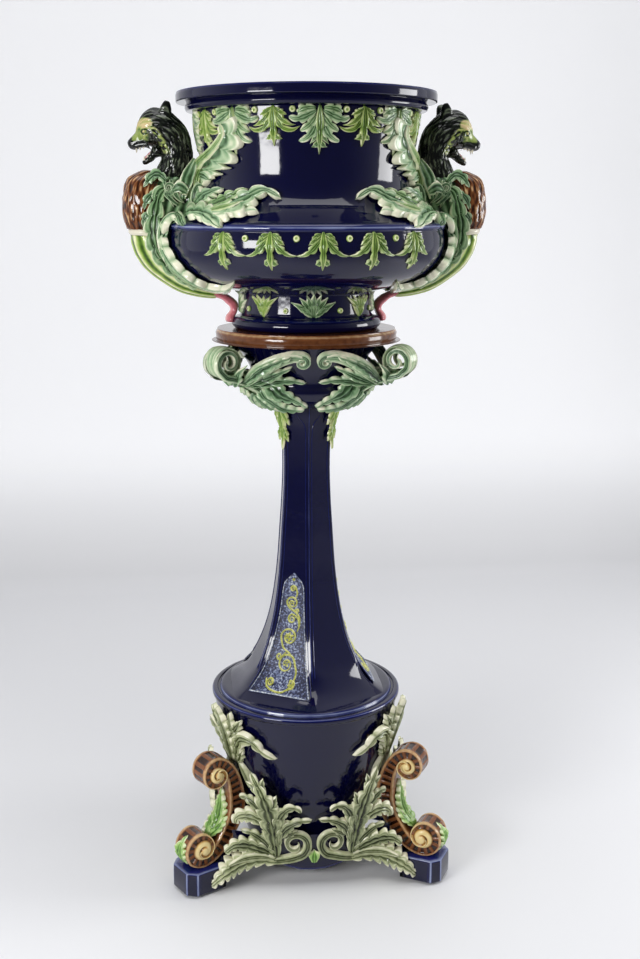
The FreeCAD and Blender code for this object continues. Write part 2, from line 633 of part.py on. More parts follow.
def make_pendant(column):
    """Narrow leaf that hangs from the capital down an edge of the column."""
    top = COLUMN_TOP
    w = PENDANT_WIDTH / 2
    h = PENDANT_LENGTH
    half = [(0.6 * w, 0), (0.9 * w, 0.16), (0.5 * w, 0.30), (w, 0.46), (0.5 * w, 0.56), (0.6 * w, 0.80), (0, 1.0)]
    outline = both_sides([(x, top - z * h) for x, z in half])
    roof = []
    for radius, z in ((COLUMN_NECK_RADIUS, top), (COLUMN_WAIST_RADIUS + 0.6, top - h)):
        front = -(radius + PENDANT_RELIEF)
        roof.append([(0, front, z), (w, front + 9, z), (w, -10, z), (-w, -10, z), (-w, front + 9, z)])
    leaf = front_prism(outline, -FAR, 0).common(faceted(roof)).cut(column)
    return solids_of(leaf)


# ---------------------------------------------------------------- capital
def make_capital():
    """Bulb and bell between the column and the dish, bored through."""
    z = COLUMN_TOP
    h = CAPITAL_HEIGHT
    b = CAPITAL_BULB_RADIUS
    filled = turned(STAND_SIDES, (0, z), (COLUMN_NECK_RADIUS + 4, z), [15.0, (b, z + 0.30 * h)], (b - 3, z + 0.36 * h),
                    [75.0, (CAPITAL_TOP_RADIUS, z + h)], (0, z + h))
    bore = turned(BORE_SIDES, (0, z - 1), (COLUMN_BORE, z - 1), (COLUMN_BORE, z + 0.2 * h),
                  (b - 22, z + 0.34 * h), (CAPITAL_TOP_RADIUS - 18, z + h + 1), (0, z + h + 1))
    return filled, filled.cut(bore)


def make_dish():
    """Plain round dish with a rounded edge that the jardiniere stands on."""
    low = DISH_BOTTOM
    high = POT_BASE
    r = DISH_RADIUS
    return turned(STAND_SIDES, (0, low), (r - 3, low), (r, low + 3), (r, high - DISH_FILLET), [90.0, (r - DISH_FILLET, high)],
                  (0, high))


def make_corner_volute(capital):
    """Rolled leaf at a corner of the capital, built on +X: a rising tongue that ends in a volute."""
    z = COLUMN_TOP
    h = CAPITAL_HEIGHT
    centre = (CAPITAL_REACH - CAPITAL_VOLUTE_RADIUS, DISH_BOTTOM - CAPITAL_VOLUTE_RADIUS - 1)
    tongue = [(CAPITAL_BULB_RADIUS - 22, z + 0.08 * h), (CAPITAL_BULB_RADIUS + 2, z + 0.30 * h),
              (centre[0] - 20, centre[1] - 30), (centre[0], centre[1] - CAPITAL_VOLUTE_RADIUS),
              (centre[0] + 8, centre[1]), (centre[0] - 12, centre[1] + 6), (CAPITAL_TOP_RADIUS - 10, DISH_BOTTOM - 2),
              (CAPITAL_BULB_RADIUS - 30, z + 0.5 * h)]
    solid = side_prism(tongue, CAPITAL_VOLUTE_WIDTH)
    solid = solid.fuse(coil(centre[0], centre[1], CAPITAL_VOLUTE_RADIUS, CAPITAL_VOLUTE_WIDTH, 16))
    solid = solid.fuse(coil(centre[0] - 2, centre[1], 0.4 * CAPITAL_VOLUTE_RADIUS, CAPITAL_VOLUTE_WIDTH + 8, 8))
    return max(solid.cut(capital).Solids, key=lambda s: s.Volume)


def make_spray(capital, volutes):
    """Carved leaves on one side of the capital, with two small scrolls in the middle."""
    z = COLUMN_TOP
    h = CAPITAL_HEIGHT
    corner = CAPITAL_REACH - 14
    half_top = corner * sin(radians(60))
    bow_top = CAPITAL_TOP_RADIUS + 4 - corner * cos(radians(60))
    sections = [(58, 64, 16, z + 1), (80, 93, 24, z + 0.38 * h), (half_top, CAPITAL_TOP_RADIUS + 4, bow_top, z + h - 1)]
    plate = bowed_plate(sections, SPRAY_THICK)
    half = [(3, 3), (26, 2), (48, 14), (62, 38), (100, 50), (138, 56), (140, 80), (120, 94),
            (22, 97), (6, 88), (8, 72), (30, 76), (44, 66), (5, 58), (36, 40), (30, 20), (3, 14)]
    plan = 1.0 / 100.0
    right = [(x, z + y * plan * h) for x, y in half]
    left = [(-x, height) for x, height in reversed(right)]
    leaves = []
    for outline in (right, left):
        leaf = plate.common(front_prism(outline, -FAR, 0)).cut(capital)
        for volute in volutes:
            leaf = leaf.cut(volute)
        leaves += solids_of(leaf).Solids
    return Part.makeCompound(leaves)


# ---------------------------------------------------------------- assembly
def build_stand():
    drum_core, pieces["base_drum"] = make_drum()
    leg = make_leg(drum_core)
    block = make_foot_block(leg)
    crest = make_crest(drum_core, leg)
    shin = make_shin_leaf(leg, block)
    legs = []
    for number, azimuth in enumerate(LEG_ANGLES):
        name = "_%d" % (number + 1)
        for label, shape in (("leg_scroll", leg), ("foot_block", block), ("leg_crest", crest), ("shin_leaf", shin)):
            placed = out_along(shape, azimuth)
            pieces[label + name] = placed
            if abs(azimuth - 180) > 1:
                legs.append(placed)
    apron, apron_leaves = make_apron(drum_core, legs)
    for number, azimuth in enumerate(FACE_ANGLES):
        pieces["apron_%d" % (number + 1)] = facing(apron, azimuth)
        pieces["apron_leaves_%d" % (number + 1)] = facing(apron_leaves, azimuth)

    column, pieces["column"] = make_column()
    pendant = make_pendant(column)
    capital, pieces["capital"] = make_capital()
    volute = make_corner_volute(capital)
    corners = [out_along(volute, a) for a in (60.0, 300.0)]
    spray = make_spray(capital, corners)
    for number, azimuth in enumerate(LEG_ANGLES):
        pieces["column_pendant_%d" % (number + 1)] = facing(pendant, azimuth)
        pieces["capital_volute_%d" % (number + 1)] = out_along(volute, azimuth)
    for number, azimuth in enumerate(FACE_ANGLES):
        pieces["capital_spray_%d" % (number + 1)] = facing(spray, azimuth)
    pieces["dish"] = make_dish()


def build_jardiniere():
    core, pieces["bowl"] = make_bowl()
    pieces["bowl_rim"] = make_rim()
    pot_foot = make_pot_foot()
    pieces["bowl_foot"] = pot_foot
    plug = turned(STAND_SIDES, (0, POT_BASE), (FOOT_BORE, POT_BASE), (FOOT_BORE, BOWL_BOTTOM), (0, BOWL_BOTTOM))
    foot_core = pot_foot.fuse(plug)
    make_bands(core, foot_core)
    handle, spray = make_handle(core, foot_core)
    taken = list(handle.values()) + [foot_core]
    taken += [pieces[name] for name in ("upper_leaves_large", "upper_leaves_small", "lower_leaves", "lower_studs")]
    across = Vector(1, 0, 0)
    for label, shape in handle.items():
        pieces["right_" + label] = shape
        pieces["left_" + label] = shape.mirror(AXIS, across)
    for label, leaf in (("leaves_front", spray), ("leaves_back", spray.mirror(AXIS, Vector(0, 1, 0)))):
        for other in taken:
            leaf = leaf.cut(other)
        pieces["right_" + label] = solids_of(leaf)
        pieces["left_" + label] = solids_of(leaf).mirror(AXIS, across)


def export():
    """Move everything so that the origin is the middle of the floor area, and write one file per piece."""
    os.makedirs("parts", exist_ok=True)
    box = FreeCAD.BoundBox()
    for name, shape in list(pieces.items()):
        pieces[name] = shape = shape.removeSplitter()
        box.add(shape.optimalBoundingBox(False, False))
    shift = Vector(-(box.XMin + box.XMax) / 2, -(box.YMin + box.YMax) / 2, -box.ZMin)
    for name, shape in pieces.items():
        placed = shape.copy()
        placed.translate(shift)
        placed.exportStep("parts/%s.step" % name)
    print("pieces %d, size %.1f x %.1f x %.1f, axis at y %.2f"
          % (len(pieces), box.XLength, box.YLength, box.ZLength, shift.y))


build_stand()
build_jardiniere()
export()
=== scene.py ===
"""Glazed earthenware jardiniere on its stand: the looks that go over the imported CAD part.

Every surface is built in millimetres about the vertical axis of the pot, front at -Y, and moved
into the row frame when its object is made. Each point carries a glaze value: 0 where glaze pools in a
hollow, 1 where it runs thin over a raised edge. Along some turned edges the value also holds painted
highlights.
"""
import json
import math

import bpy
import numpy as np
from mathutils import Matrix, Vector, noise

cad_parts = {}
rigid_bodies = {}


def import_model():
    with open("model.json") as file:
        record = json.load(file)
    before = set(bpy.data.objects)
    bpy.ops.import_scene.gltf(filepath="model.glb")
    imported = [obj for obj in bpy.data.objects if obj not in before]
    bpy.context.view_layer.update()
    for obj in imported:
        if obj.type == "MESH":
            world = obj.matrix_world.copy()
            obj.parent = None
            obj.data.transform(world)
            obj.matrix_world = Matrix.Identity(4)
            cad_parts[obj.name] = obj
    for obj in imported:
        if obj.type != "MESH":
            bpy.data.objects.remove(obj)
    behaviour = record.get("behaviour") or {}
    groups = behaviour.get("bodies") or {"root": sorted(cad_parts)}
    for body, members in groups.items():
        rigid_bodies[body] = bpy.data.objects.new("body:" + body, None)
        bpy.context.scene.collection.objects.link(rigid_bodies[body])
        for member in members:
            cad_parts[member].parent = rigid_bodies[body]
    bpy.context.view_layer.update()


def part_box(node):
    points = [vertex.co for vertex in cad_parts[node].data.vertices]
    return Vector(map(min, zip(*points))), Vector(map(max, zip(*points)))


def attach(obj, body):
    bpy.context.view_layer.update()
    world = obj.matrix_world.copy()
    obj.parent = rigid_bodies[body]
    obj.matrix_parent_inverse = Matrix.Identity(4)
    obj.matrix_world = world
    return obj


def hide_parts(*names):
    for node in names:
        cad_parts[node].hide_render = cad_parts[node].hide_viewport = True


bl_info = {
    "name": "Glazed jardiniere on stand",
    "version": (1, 0, 0),
    "blender": (4, 5, 0),
    "location": "3D View > Sidebar > Jardiniere",
    "description": "Builds the glazed jardiniere and its stand over the packed CAD part",
    "category": "Add Mesh",
}

MM = 0.001
TAN_30 = 0.577
for start_object in list(bpy.data.objects):
    bpy.data.objects.remove(start_object)
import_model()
BOWL_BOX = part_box("bowl")


# ---------------------------------------------------------------- sizes and colours
def srgb(text):
    """Linear colour of a hex colour as seen on screen."""
    values = [int(text[k:k + 2], 16) / 255 for k in (0, 2, 4)]
    return [c / 12.92 if c <= 0.04045 else ((c + 0.055) / 1.055) ** 2.4 for c in values] + [1.0]


def length(name, millimetres, description):
    return bpy.props.FloatProperty(name=name, description=description, default=millimetres * MM,
                                   unit="LENGTH")


def shade(name, colour, description):
    return bpy.props.FloatVectorProperty(name=name, description=description, default=srgb(colour), size=4,
                                         subtype="COLOR", min=0.0, max=1.0)


class JardiniereSizes(bpy.types.PropertyGroup):
    """Sizes of the carving, the hair and the glaze, and the strength of the lamps."""
    axis_y: length("Pot axis", (BOWL_BOX[0].y + BOWL_BOX[1].y) / 2 / MM,
                   "Place of the pot's axis along Y, from the packed bowl")
    leaf_relief: bpy.props.FloatProperty(name="Leaf relief",
                                         description="Thickness of the leaves against the modelled one",
                                         default=1.0, min=0.5, max=1.5, subtype="FACTOR")
    neck_leaves: bpy.props.IntProperty(name="Neck leaves",
                                       description="Large leaves round the neck, with small ones between",
                                       default=8, min=4, max=12)
    stud_radius: length("Stud radius", 4.3, "Radius of a round boss between the leaves")
    fur_relief: length("Fur relief", 2.2, "Height of the locks on the heads and the chests")
    ridge_relief: length("Ridge relief", 1.3, "Height of the ridges along the lower bodies")
    rung_pitch: length("Rung pitch", 10.6, "Distance between two rungs of a leg scroll")
    glaze_ripple: length("Glaze ripple", 1.5, "Height of the slow ripple in the glaze")
    lens: bpy.props.FloatProperty(name="Lens", description="Focal length of the camera", default=45.98,
                                  unit="CAMERA")
    left_light: bpy.props.FloatProperty(name="Left lamp", description="Soft lamp at the front left",
                                        default=25.0, unit="POWER")
    right_light: bpy.props.FloatProperty(name="Right lamp", description="Soft lamp at the right",
                                         default=22.0, unit="POWER")
    top_light: bpy.props.FloatProperty(name="Top lamp", description="Soft lamp overhead", default=35.0,
                                       unit="POWER")


class JardiniereColours(bpy.types.PropertyGroup):
    """Colours of the glazes where they lie at their usual depth, and over raised edges."""
    cobalt: shade("Cobalt", "070830", "Dark blue of the bowl, the column and the drum")
    # Worn edges, and also the colour of the painted highlights along the turned edges of the bowl, the rim,
    # the drum and the column.
    cobalt_wear_and_highlight: shade("Cobalt, edges", "a3aed0", "Worn edges of the blue glaze")
    sea: shade("Sea green", "7d9f76", "Leaves of the pot and the capital")
    sea_edge: shade("Sea green, edges", "eeecd2", "Cream that shows through on the tips of the leaves")
    lime: shade("Yellow green", "93ad52", "Small leaves, studs and lower bodies")
    moss: shade("Moss green", "868e66", "Leaves of the base")
    moss_edge: shade("Moss green, edges", "ece9cf", "Cream on the tips of the leaves of the base")
    amber: shade("Amber", "7d4b28", "Dish, legs and chests")
    # Also the colour of the painted highlight along the outer band of the dish.
    amber_edge: shade("Amber, edges", "d3ae7e", "Raised fillets of the legs")
    cream: shade("Cream", "ead59a", "Swirls of the leg scrolls")
    fur: shade("Fur", "0e130f", "Dark hair of the heads")
    muzzle: shade("Muzzle", "9aa85a", "Olive of the faces")
    pink: shade("Pink", "cc6f7a", "Paws and mouths")
    ground: shade("Stippled ground", "1c2149", "Ground of the column panels")
    paper: shade("Paper", "dddddf", "Floor and wall of the studio")


def sizes():
    return bpy.context.scene.jardiniere_sizes


def colours():
    return bpy.context.scene.jardiniere_colours


# ---------------------------------------------------------------- curves and surfaces
def curve(points, count):
    """Smooth run through points, evenly spaced along its length; a point given twice makes a corner."""
    p = np.array(points, float)
    p = np.vstack([2 * p[0] - p[1], p, 2 * p[-1] - p[-2]])
    t = np.linspace(0, len(points) - 1, 20 * len(points))
    i = np.minimum(t.astype(int), len(points) - 2)
    f = (t - i)[:, None]
    a, b, c, d = p[i], p[i + 1], p[i + 2], p[i + 3]
    q = 0.5 * (2 * b + (c - a) * f + (2 * a - 5 * b + 4 * c - d) * f**2 + (3 * b - a - 3 * c + d) * f**3)
    along = np.r_[0, np.cumsum(np.linalg.norm(np.diff(q, axis=0), axis=1))]
    at = np.linspace(0, along[-1], count)
    return np.stack([np.interp(at, along, q[:, k]) for k in range(q.shape[1])], -1)


def soft(low, high, x):
    t = np.clip((x - low) / (high - low), 0, 1)
    return t * t * (3 - 2 * t)


def wall(profile):
    """Map of (azimuth, height, lift) onto the outside of a wall turned from (radius, height) points."""
    p = curve(profile, 400)
    z, keep = np.unique(np.maximum.accumulate(p[:, 1]), return_index=True)
    r = p[keep, 0]
    slope = np.gradient(r, z)

    def place(u, v, h):
        radius = np.interp(v, z, r)
        lean = np.clip(np.interp(v, z, slope), -4, 4)
        out = radius + h / np.hypot(1, lean)
        a = np.radians(u)
        return np.stack([out * np.sin(a), -out * np.cos(a), v - h * lean / np.hypot(1, lean)], -1)

    place.scale = lambda v: np.interp(v, z, r) * np.pi / 180
    return place


class Clay:
    """Patches of mesh in millimetres, each point with a glaze value and a tint."""

    def __init__(self):
        self.co = []
        self.glaze = []
        self.faces = []
        self.count = 0

    def patch(self, points, glaze, tint=0.0, around=False, along=False):
        """Grid of points (rows, columns, 3); around closes its columns, along its rows."""
        rows, cols = points.shape[:2]
        grid = np.arange(rows * cols).reshape(rows, cols) + self.count
        if around:
            grid = np.hstack([grid, grid[:, :1]])
        if along:
            grid = np.vstack([grid, grid[:1]])
        quads = np.stack([grid[:-1, :-1], grid[:-1, 1:], grid[1:, 1:], grid[1:, :-1]], -1).reshape(-1, 4)
        self.faces.append(quads)
        self.co.append(points.reshape(-1, 3))
        values = np.zeros((rows, cols, 2))
        values[..., 0] = glaze
        values[..., 1] = tint
        self.glaze.append(values.reshape(-1, 2))
        self.count += rows * cols

    def add(self, other, azimuth=0.0, mirror=(1, 1)):
        """Copy of another clay, mirrored in X or Y and then turned about the axis."""
        co = np.vstack(other.co) * np.array([mirror[0], mirror[1], 1])
        a = math.radians(azimuth)
        turn = np.array([[math.cos(a), -math.sin(a), 0], [math.sin(a), math.cos(a), 0], [0, 0, 1]])
        flip = mirror[0] * mirror[1] < 0
        for quads in other.faces:
            quads = quads[:, ::-1] if flip else quads
            self.faces.append(quads + self.count)
        self.co.append(co @ turn.T)
        self.glaze += other.glaze
        self.count += len(co)

    def mesh(self, name, shift=0.0):
        co = np.vstack(self.co) + np.array([0, shift, 0])
        mesh = bpy.data.meshes.new(name)
        faces = np.vstack(self.faces)
        mesh.vertices.add(len(co))
        mesh.vertices.foreach_set("co", (co * MM).astype(np.float32).ravel())
        mesh.loops.add(faces.size)
        mesh.loops.foreach_set("vertex_index", faces.astype(np.int32).ravel())
        mesh.polygons.add(len(faces))
        mesh.polygons.foreach_set("loop_start", np.arange(0, faces.size, 4, dtype=np.int32))
        mesh.update(calc_edges=True)
        mesh.validate()
        glaze = np.vstack(self.glaze)
        colour = np.stack([glaze[:, 0], glaze[:, 1], 0 * glaze[:, 0], 1 + 0 * glaze[:, 0]], -1)
        layer = mesh.attributes.new("glaze", "FLOAT_COLOR", "POINT")
        layer.data.foreach_set("color", colour.astype(np.float32).ravel())
        mesh.shade_smooth()
        return mesh


def piece(name, clay, material, body, replaces=()):
    """Finish a clay as one object of the scene that rides on a CAD body."""
    item = bpy.data.objects.new(name, clay.mesh(name, sizes().axis_y / MM))
    bpy.context.scene.collection.objects.link(item)
    return settle(item, material, body, replaces)


def settle(item, material, body, replaces=()):
    item.data.materials.clear()
    item.data.materials.append(material)
    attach(item, body)
    if replaces:
        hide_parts(*replaces)
    return item


def turned(clay, profile, rows, cols=192, glaze=0.5):
    """Surface of revolution through (radius, height) points."""
    p = curve(profile, rows)
    a = np.linspace(0, 2 * np.pi, cols, endpoint=False)
    points = np.stack([p[:, :1] * np.sin(a), -p[:, :1] * np.cos(a), p[:, 1:] + 0 * a], -1)
    value = glaze(p) if callable(glaze) else np.full(rows, glaze)
    clay.patch(points, value[:, None], around=True)


# ---------------------------------------------------------------- leaves
def blade(clay, place, spine, width, thick=4.0, lobes=0, sweep=0.6, ribs=2, rows=30, cols=13, side=0,
          tint=0.0,
          cup=0.4, tip=0.15, root=0.5, deep=None, pale=None, wash=0.0):
    """Leaf blade along a spine of (u, v, lift) on a surface.

    width is the half width in millimetres at the widest place, lobes the scallops on each edge,
    sweep how far the lobes lean towards the tip, ribs the grooves on each side of the midrib,
    side -1 or 1 for a half leaf, cup how much higher the edge lies than the middle, tip and root the
    shares of the width at the ends, wash how much thinner the glaze runs. deep and pale give a plain
    strip its glaze at the edge and in the middle.
    """
    thick = thick * sizes().leaf_relief
    line = curve(spine, rows)
    s = np.linspace(0, 1, rows)[:, None]
    t = np.linspace(-1, 1, cols)[None, :]
    scale = place.scale(line[:, 1]) if callable(place.scale) else place.scale
    step = np.gradient(line[:, :2], axis=0)
    step[:, 0] *= scale
    step /= np.maximum(np.linalg.norm(step, axis=1, keepdims=True), 1e-6)
    swell = (root + (1 - root) * soft(0, 0.35, s)) * (tip + (1 - tip) * soft(1.0, 0.45, s))
    swell *= 1 - 0.9 * soft(0.93, 1.0, s)
    notch = np.zeros_like(s)
    if lobes:
        notch = 1 - np.abs(np.sin(np.pi * lobes * s)) ** 0.6
    edge = width * swell * (1 - 0.58 * notch)
    across = t * edge
    if side:
        across = np.where(np.sign(t) == side, across, across * 0.22)
    forward = sweep * np.abs(across) ** 1.5 / max(width, 1) ** 0.5
    body = 0.5 + cup * np.abs(t) ** 1.6 + 0.22 * np.exp(-(t / 0.13) ** 2)
    if ribs:
        body = body - 0.13 * (1 - np.cos(2 * np.pi * ribs * np.abs(t))) * (1 - np.abs(t) ** 3)
    body = body - 0.3 * notch * np.abs(t)
    body = np.where(np.abs(t) > 0.999, -0.5, body * np.sqrt(np.clip(1 - t**8, 0, 1)))
    lift = line[:, 2:3] + thick * swell**0.4 * body
    lift[[0, -1]] = np.minimum(lift[[0, -1]], line[[0, -1], 2:3] - 0.4 * thick)
    lift = np.where(np.abs(t) > 0.999, line[:, 2:3] - 0.5 * thick, lift)
    per_unit = np.reshape(scale, (-1, 1) if np.ndim(scale) else ())
    u = line[:, :1] + (across * -step[:, 1:] + forward * step[:, :1]) / per_unit
    v = line[:, 1:2] + across * step[:, :1] + forward * step[:, 1:]
    value = 0.26 + 0.66 * soft(0.35, 0.95, np.abs(t)) - 0.5 * notch * np.abs(t) + 0.22 * soft(0.5, 1, s)
    value = value + 0.2 * np.cos(2 * np.pi * ribs * np.abs(t)) * (np.abs(t) < 0.9) + wash
    if deep is not None:
        value = deep + (pale - deep) * (1 - np.abs(t)) + 0 * s
    clay.patch(place(u, v, lift), np.clip(value, 0, 1), tint)


def scroll(clay, place, centre, radius, turns, start, width, thick=5.0, hand=1, shrink=0.25, lift=2.0,
           tint=0.0, tail=()):
    """Ribbed band that winds into a spiral about a centre; tail holds the points it comes from.

    It starts at radius and at the angle start in degrees, makes so many turns, anticlockwise where
    hand is 1, and ends at the share shrink of its radius.
    """
    scale = place.scale(np.array([centre[1]]))[0] if callable(place.scale) else place.scale
    spiral = []
    for share in np.linspace(0, 1, 14):
        r = radius * (1 - (1 - shrink) * share)
        angle = math.radians(start) + hand * 2 * math.pi * turns * share
        spiral.append((centre[0] + r * math.cos(angle) / scale, centre[1] + r * math.sin(angle),
                       lift + 3 * share))
    blade(clay, place, list(tail) + spiral, width, thick, 0, 0, 2, rows=70, cols=13, cup=0.3, tip=0.5,
          root=0.7, tint=tint)


# ---------------------------------------------------------------- materials
def node(tree, kind, links=(), **settings):
    """Add a node; links are (input, from node, from output) and settings its values by input name."""
    made = tree.nodes.new(kind)
    for key, value in settings.items():
        if hasattr(made, key):
            setattr(made, key, value)
        else:
            made.inputs[key.replace("_", " ")].default_value = value
    for target, source, output in links:
        tree.links.new(made.inputs[target], source.outputs[output])
    return made


def ramp(tree, source, output, stops):
    """Colour ramp through (place, colour) stops; a colour is a hex text or a list of channels."""
    made = node(tree, "ShaderNodeValToRGB", [("Fac", source, output)])
    while len(made.color_ramp.elements) < len(stops):
        made.color_ramp.elements.new(0.5)
    for element, (at, colour) in zip(made.color_ramp.elements, stops):
        element.position = at
        element.color = srgb(colour) if isinstance(colour, str) else colour
    return made


GLAZE_IOR = 1.48
RIPPLE_WIDTH = 22.0
GLAZES = {}


def glaze(name, stops, mottle=0.25, grain=14.0, rough=0.12, wave=0.25, tint_stops=None):
    """Lead glaze whose colour follows its depth: the glaze value, mottled by slow noise.

    mottle is how far the noise moves the depth, grain its width in millimetres, wave the strength
    of the ripple, and tint_stops the colours where the tint of the clay is 1.
    """
    made = bpy.data.materials.new(name)
    made.use_nodes = True
    tree = made.node_tree
    tree.nodes.clear()
    place = node(tree, "ShaderNodeTexCoord")
    value = node(tree, "ShaderNodeAttribute", attribute_name="glaze")
    parts = node(tree, "ShaderNodeSeparateColor", [("Color", value, "Color")])
    cloud = node(tree, "ShaderNodeTexNoise", [("Vector", place, "Object")], Scale=1 / (grain * MM),
                 Detail=3.0)
    drift = node(tree, "ShaderNodeMath", [(0, cloud, 0)], operation="MULTIPLY_ADD")
    drift.inputs[1].default_value = mottle * 2
    drift.inputs[2].default_value = -mottle
    depth = node(tree, "ShaderNodeMath", [(0, parts, "Red"), (1, drift, 0)], operation="ADD",
                 use_clamp=True)
    colour, socket = ramp(tree, depth, 0, stops), "Color"
    if tint_stops:
        tinted = ramp(tree, depth, 0, tint_stops)
        mix = node(tree, "ShaderNodeMix", data_type="RGBA")
        for slot, source, output in ((0, parts, "Green"), (6, colour, "Color"), (7, tinted, "Color")):
            tree.links.new(mix.inputs[slot], source.outputs[output])
        colour, socket = mix, 2
    ripple = node(tree, "ShaderNodeTexNoise", [("Vector", place, "Object")], Scale=1 / (RIPPLE_WIDTH * MM),
                  Detail=2.0)
    bump = node(tree, "ShaderNodeBump", [("Height", ripple, 0)], Strength=wave,
                Distance=sizes().glaze_ripple)
    shader = node(tree, "ShaderNodeBsdfPrincipled", [("Base Color", colour, socket), ("Normal", bump, 0)],
                  Roughness=rough, IOR=GLAZE_IOR)
    node(tree, "ShaderNodeOutputMaterial", [("Surface", shader, 0)])
    return made


def make_materials():
    """One glaze for each colour that the potter used."""
    c = colours()
    GLAZES["cobalt"] = glaze("cobalt_glaze", [(0.0, "020214"), (0.5, c.cobalt), (0.86, "131c5c"),
                                              (1.0, c.cobalt_wear_and_highlight)], mottle=0.08, grain=45.0, rough=0.07,
                             wave=0.12)
    GLAZES["sea"] = glaze("sea_green_glaze", [(0.0, "142410"), (0.24, "3f5f3c"), (0.48, c.sea),
                                              (0.75, "b9cca5"), (1.0, c.sea_edge)], mottle=0.24, grain=11.0,
                          tint_stops=[(0.0, "223c0e"), (0.24, "5c7f2c"), (0.48, c.lime), (0.78, "c3ce88"),
                                      (1.0, "ecebc4")])
    GLAZES["moss"] = glaze("moss_green_glaze", [(0.0, "191c10"), (0.24, "4b5432"), (0.48, c.moss),
                                                (0.75, "b9be94"), (1.0, c.moss_edge)], mottle=0.26,
                           grain=12.0, tint_stops=[(0.0, "223c0e"), (0.24, "5c8a34"), (0.48, "8ab45a"),
                                                   (0.78, "b9cf8a"), (1.0, "e8ecc8")])
    GLAZES["stipple"] = glaze("stippled_glaze", [(0.0, "05071c"), (0.3, c.ground), (0.55, "6a7698"),
                                                 (1.0, "dfe3e2")], mottle=1.0, grain=3.0, rough=0.5,
                              wave=0.5, tint_stops=[(0.0, "8d9430"), (0.3, "a9ad45"), (0.62, "c6c662"),
                                                    (1.0, "e6e2a0")])
    GLAZES["fur"] = glaze("fur_glaze", [(0.0, "040604"), (0.45, c.fur), (0.75, "262c22"), (1.0, "626a58")],
                          mottle=0.05, grain=4.0, rough=0.15,
                          tint_stops=[(0.0, "0c150a"), (0.35, "4c6a2a"), (0.65, c.muzzle), (0.85, "b4ae74"),
                                      (1.0, "cdb98a")])
    GLAZES["pink"] = glaze("pink_glaze", [(0.0, "6a2f35"), (0.4, c.pink), (0.8, "e8a2a4"), (1.0, "f5d5cf")],
                           mottle=0.15, grain=6.0, tint_stops=[(0.0, "8d8468"), (1.0, "ece6d2")])
    GLAZES["amber"] = glaze("amber_glaze", [(0.0, "160a04"), (0.35, "47230f"), (0.7, c.amber),
                                            (1.0, c.amber_edge)], mottle=0.2, grain=8.0,
                            tint_stops=[(0.0, "4a2c10"), (0.5, "c08f45"), (1.0, c.cream)])


# ---------------------------------------------------------------- stage
SWEEP = [(-3000, 0), (1100, 0), (1600, 60), (1900, 450), (2000, 1200), (2000, 4200)]
HALF_SWEEP = 3500
LAMP_AIM = Vector((0, 0, 0.8))
CAMERA_PLACE = (-0.2079, -1.8529, 1.0412)
CAMERA_WAY = Vector((0.102, 0.9705, -0.2183))


def fade(tree, source, output, start, stop, low, high):
    """Smooth change from low to high while a value runs from start to stop."""
    made = node(tree, "ShaderNodeMapRange", [("Value", source, output)], interpolation_type="SMOOTHSTEP")
    for socket, number in (("From Min", start), ("From Max", stop), ("To Min", low), ("To Max", high)):
        made.inputs[socket].default_value = number
    return made


def stand_at(item, place, way):
    """Put a lamp or the camera at a place, looking along a way."""
    item.location = place
    item.rotation_mode = "QUATERNION"
    item.rotation_quaternion = way.to_track_quat("-Z", "Y")
    bpy.context.scene.collection.objects.link(item)


def make_world():
    """Grey surroundings, darker towards the front, which the glazes mirror."""
    world = bpy.data.worlds.new("studio")
    bpy.context.scene.world = world
    world.use_nodes = True
    tree = world.node_tree
    sky = tree.nodes["Background"]
    sky.inputs["Color"].default_value = srgb("eceef2")
    way = node(tree, "ShaderNodeSeparateXYZ", [("Vector", node(tree, "ShaderNodeTexCoord"), "Generated")])
    fall = fade(tree, way, "Y", -0.9, 0.5, 0.12, 1.0)
    tree.links.new(sky.inputs["Strength"], fall.outputs["Result"])


def make_paper():
    """One sweep of paper as floor and wall, with painted light and shade: the wall glows a little, and the
    floor darkens to the front.
    """
    line = curve(SWEEP, 60)
    across = np.linspace(-HALF_SWEEP, HALF_SWEEP, 12)
    sheet = np.stack([across[None, :] + 0 * line[:, :1], line[:, :1] + 0 * across,
                      line[:, 1:] + 0 * across], -1)
    clay = Clay()
    clay.patch(sheet[:, ::-1], 0.5)
    floor = bpy.data.objects.new("studio_sweep", clay.mesh("studio_sweep"))
    bpy.context.scene.collection.objects.link(floor)
    paper = bpy.data.materials.new("paper_sweep")
    paper.use_nodes = True
    tree = paper.node_tree
    shader = tree.nodes["Principled BSDF"]
    shader.inputs["Roughness"].default_value = 0.7
    shader.inputs["Emission Color"].default_value = srgb("f4f5f8")
    spot = node(tree, "ShaderNodeSeparateXYZ", [("Vector", node(tree, "ShaderNodeTexCoord"), "Object")])
    # Painted light: the paper emits a little light of its own, more with height, so the wall reads
    # brighter.
    painted_glow = fade(tree, spot, "Z", 0.0, 0.35, 0.0, 0.34)
    tree.links.new(shader.inputs["Emission Strength"], painted_glow.outputs["Result"])
    # Painted shade: the floor darkens towards the front, standing in for the dim studio that the glazes
    # mirror.
    depth = fade(tree, spot, "Y", -2.6, -0.5, 0.0, 1.0)
    ground = ramp(tree, depth, "Result", [(0.0, "5c5d60"), (1.0, colours().paper)])
    tree.links.new(shader.inputs["Base Color"], ground.outputs["Color"])
    floor.data.materials.append(paper)


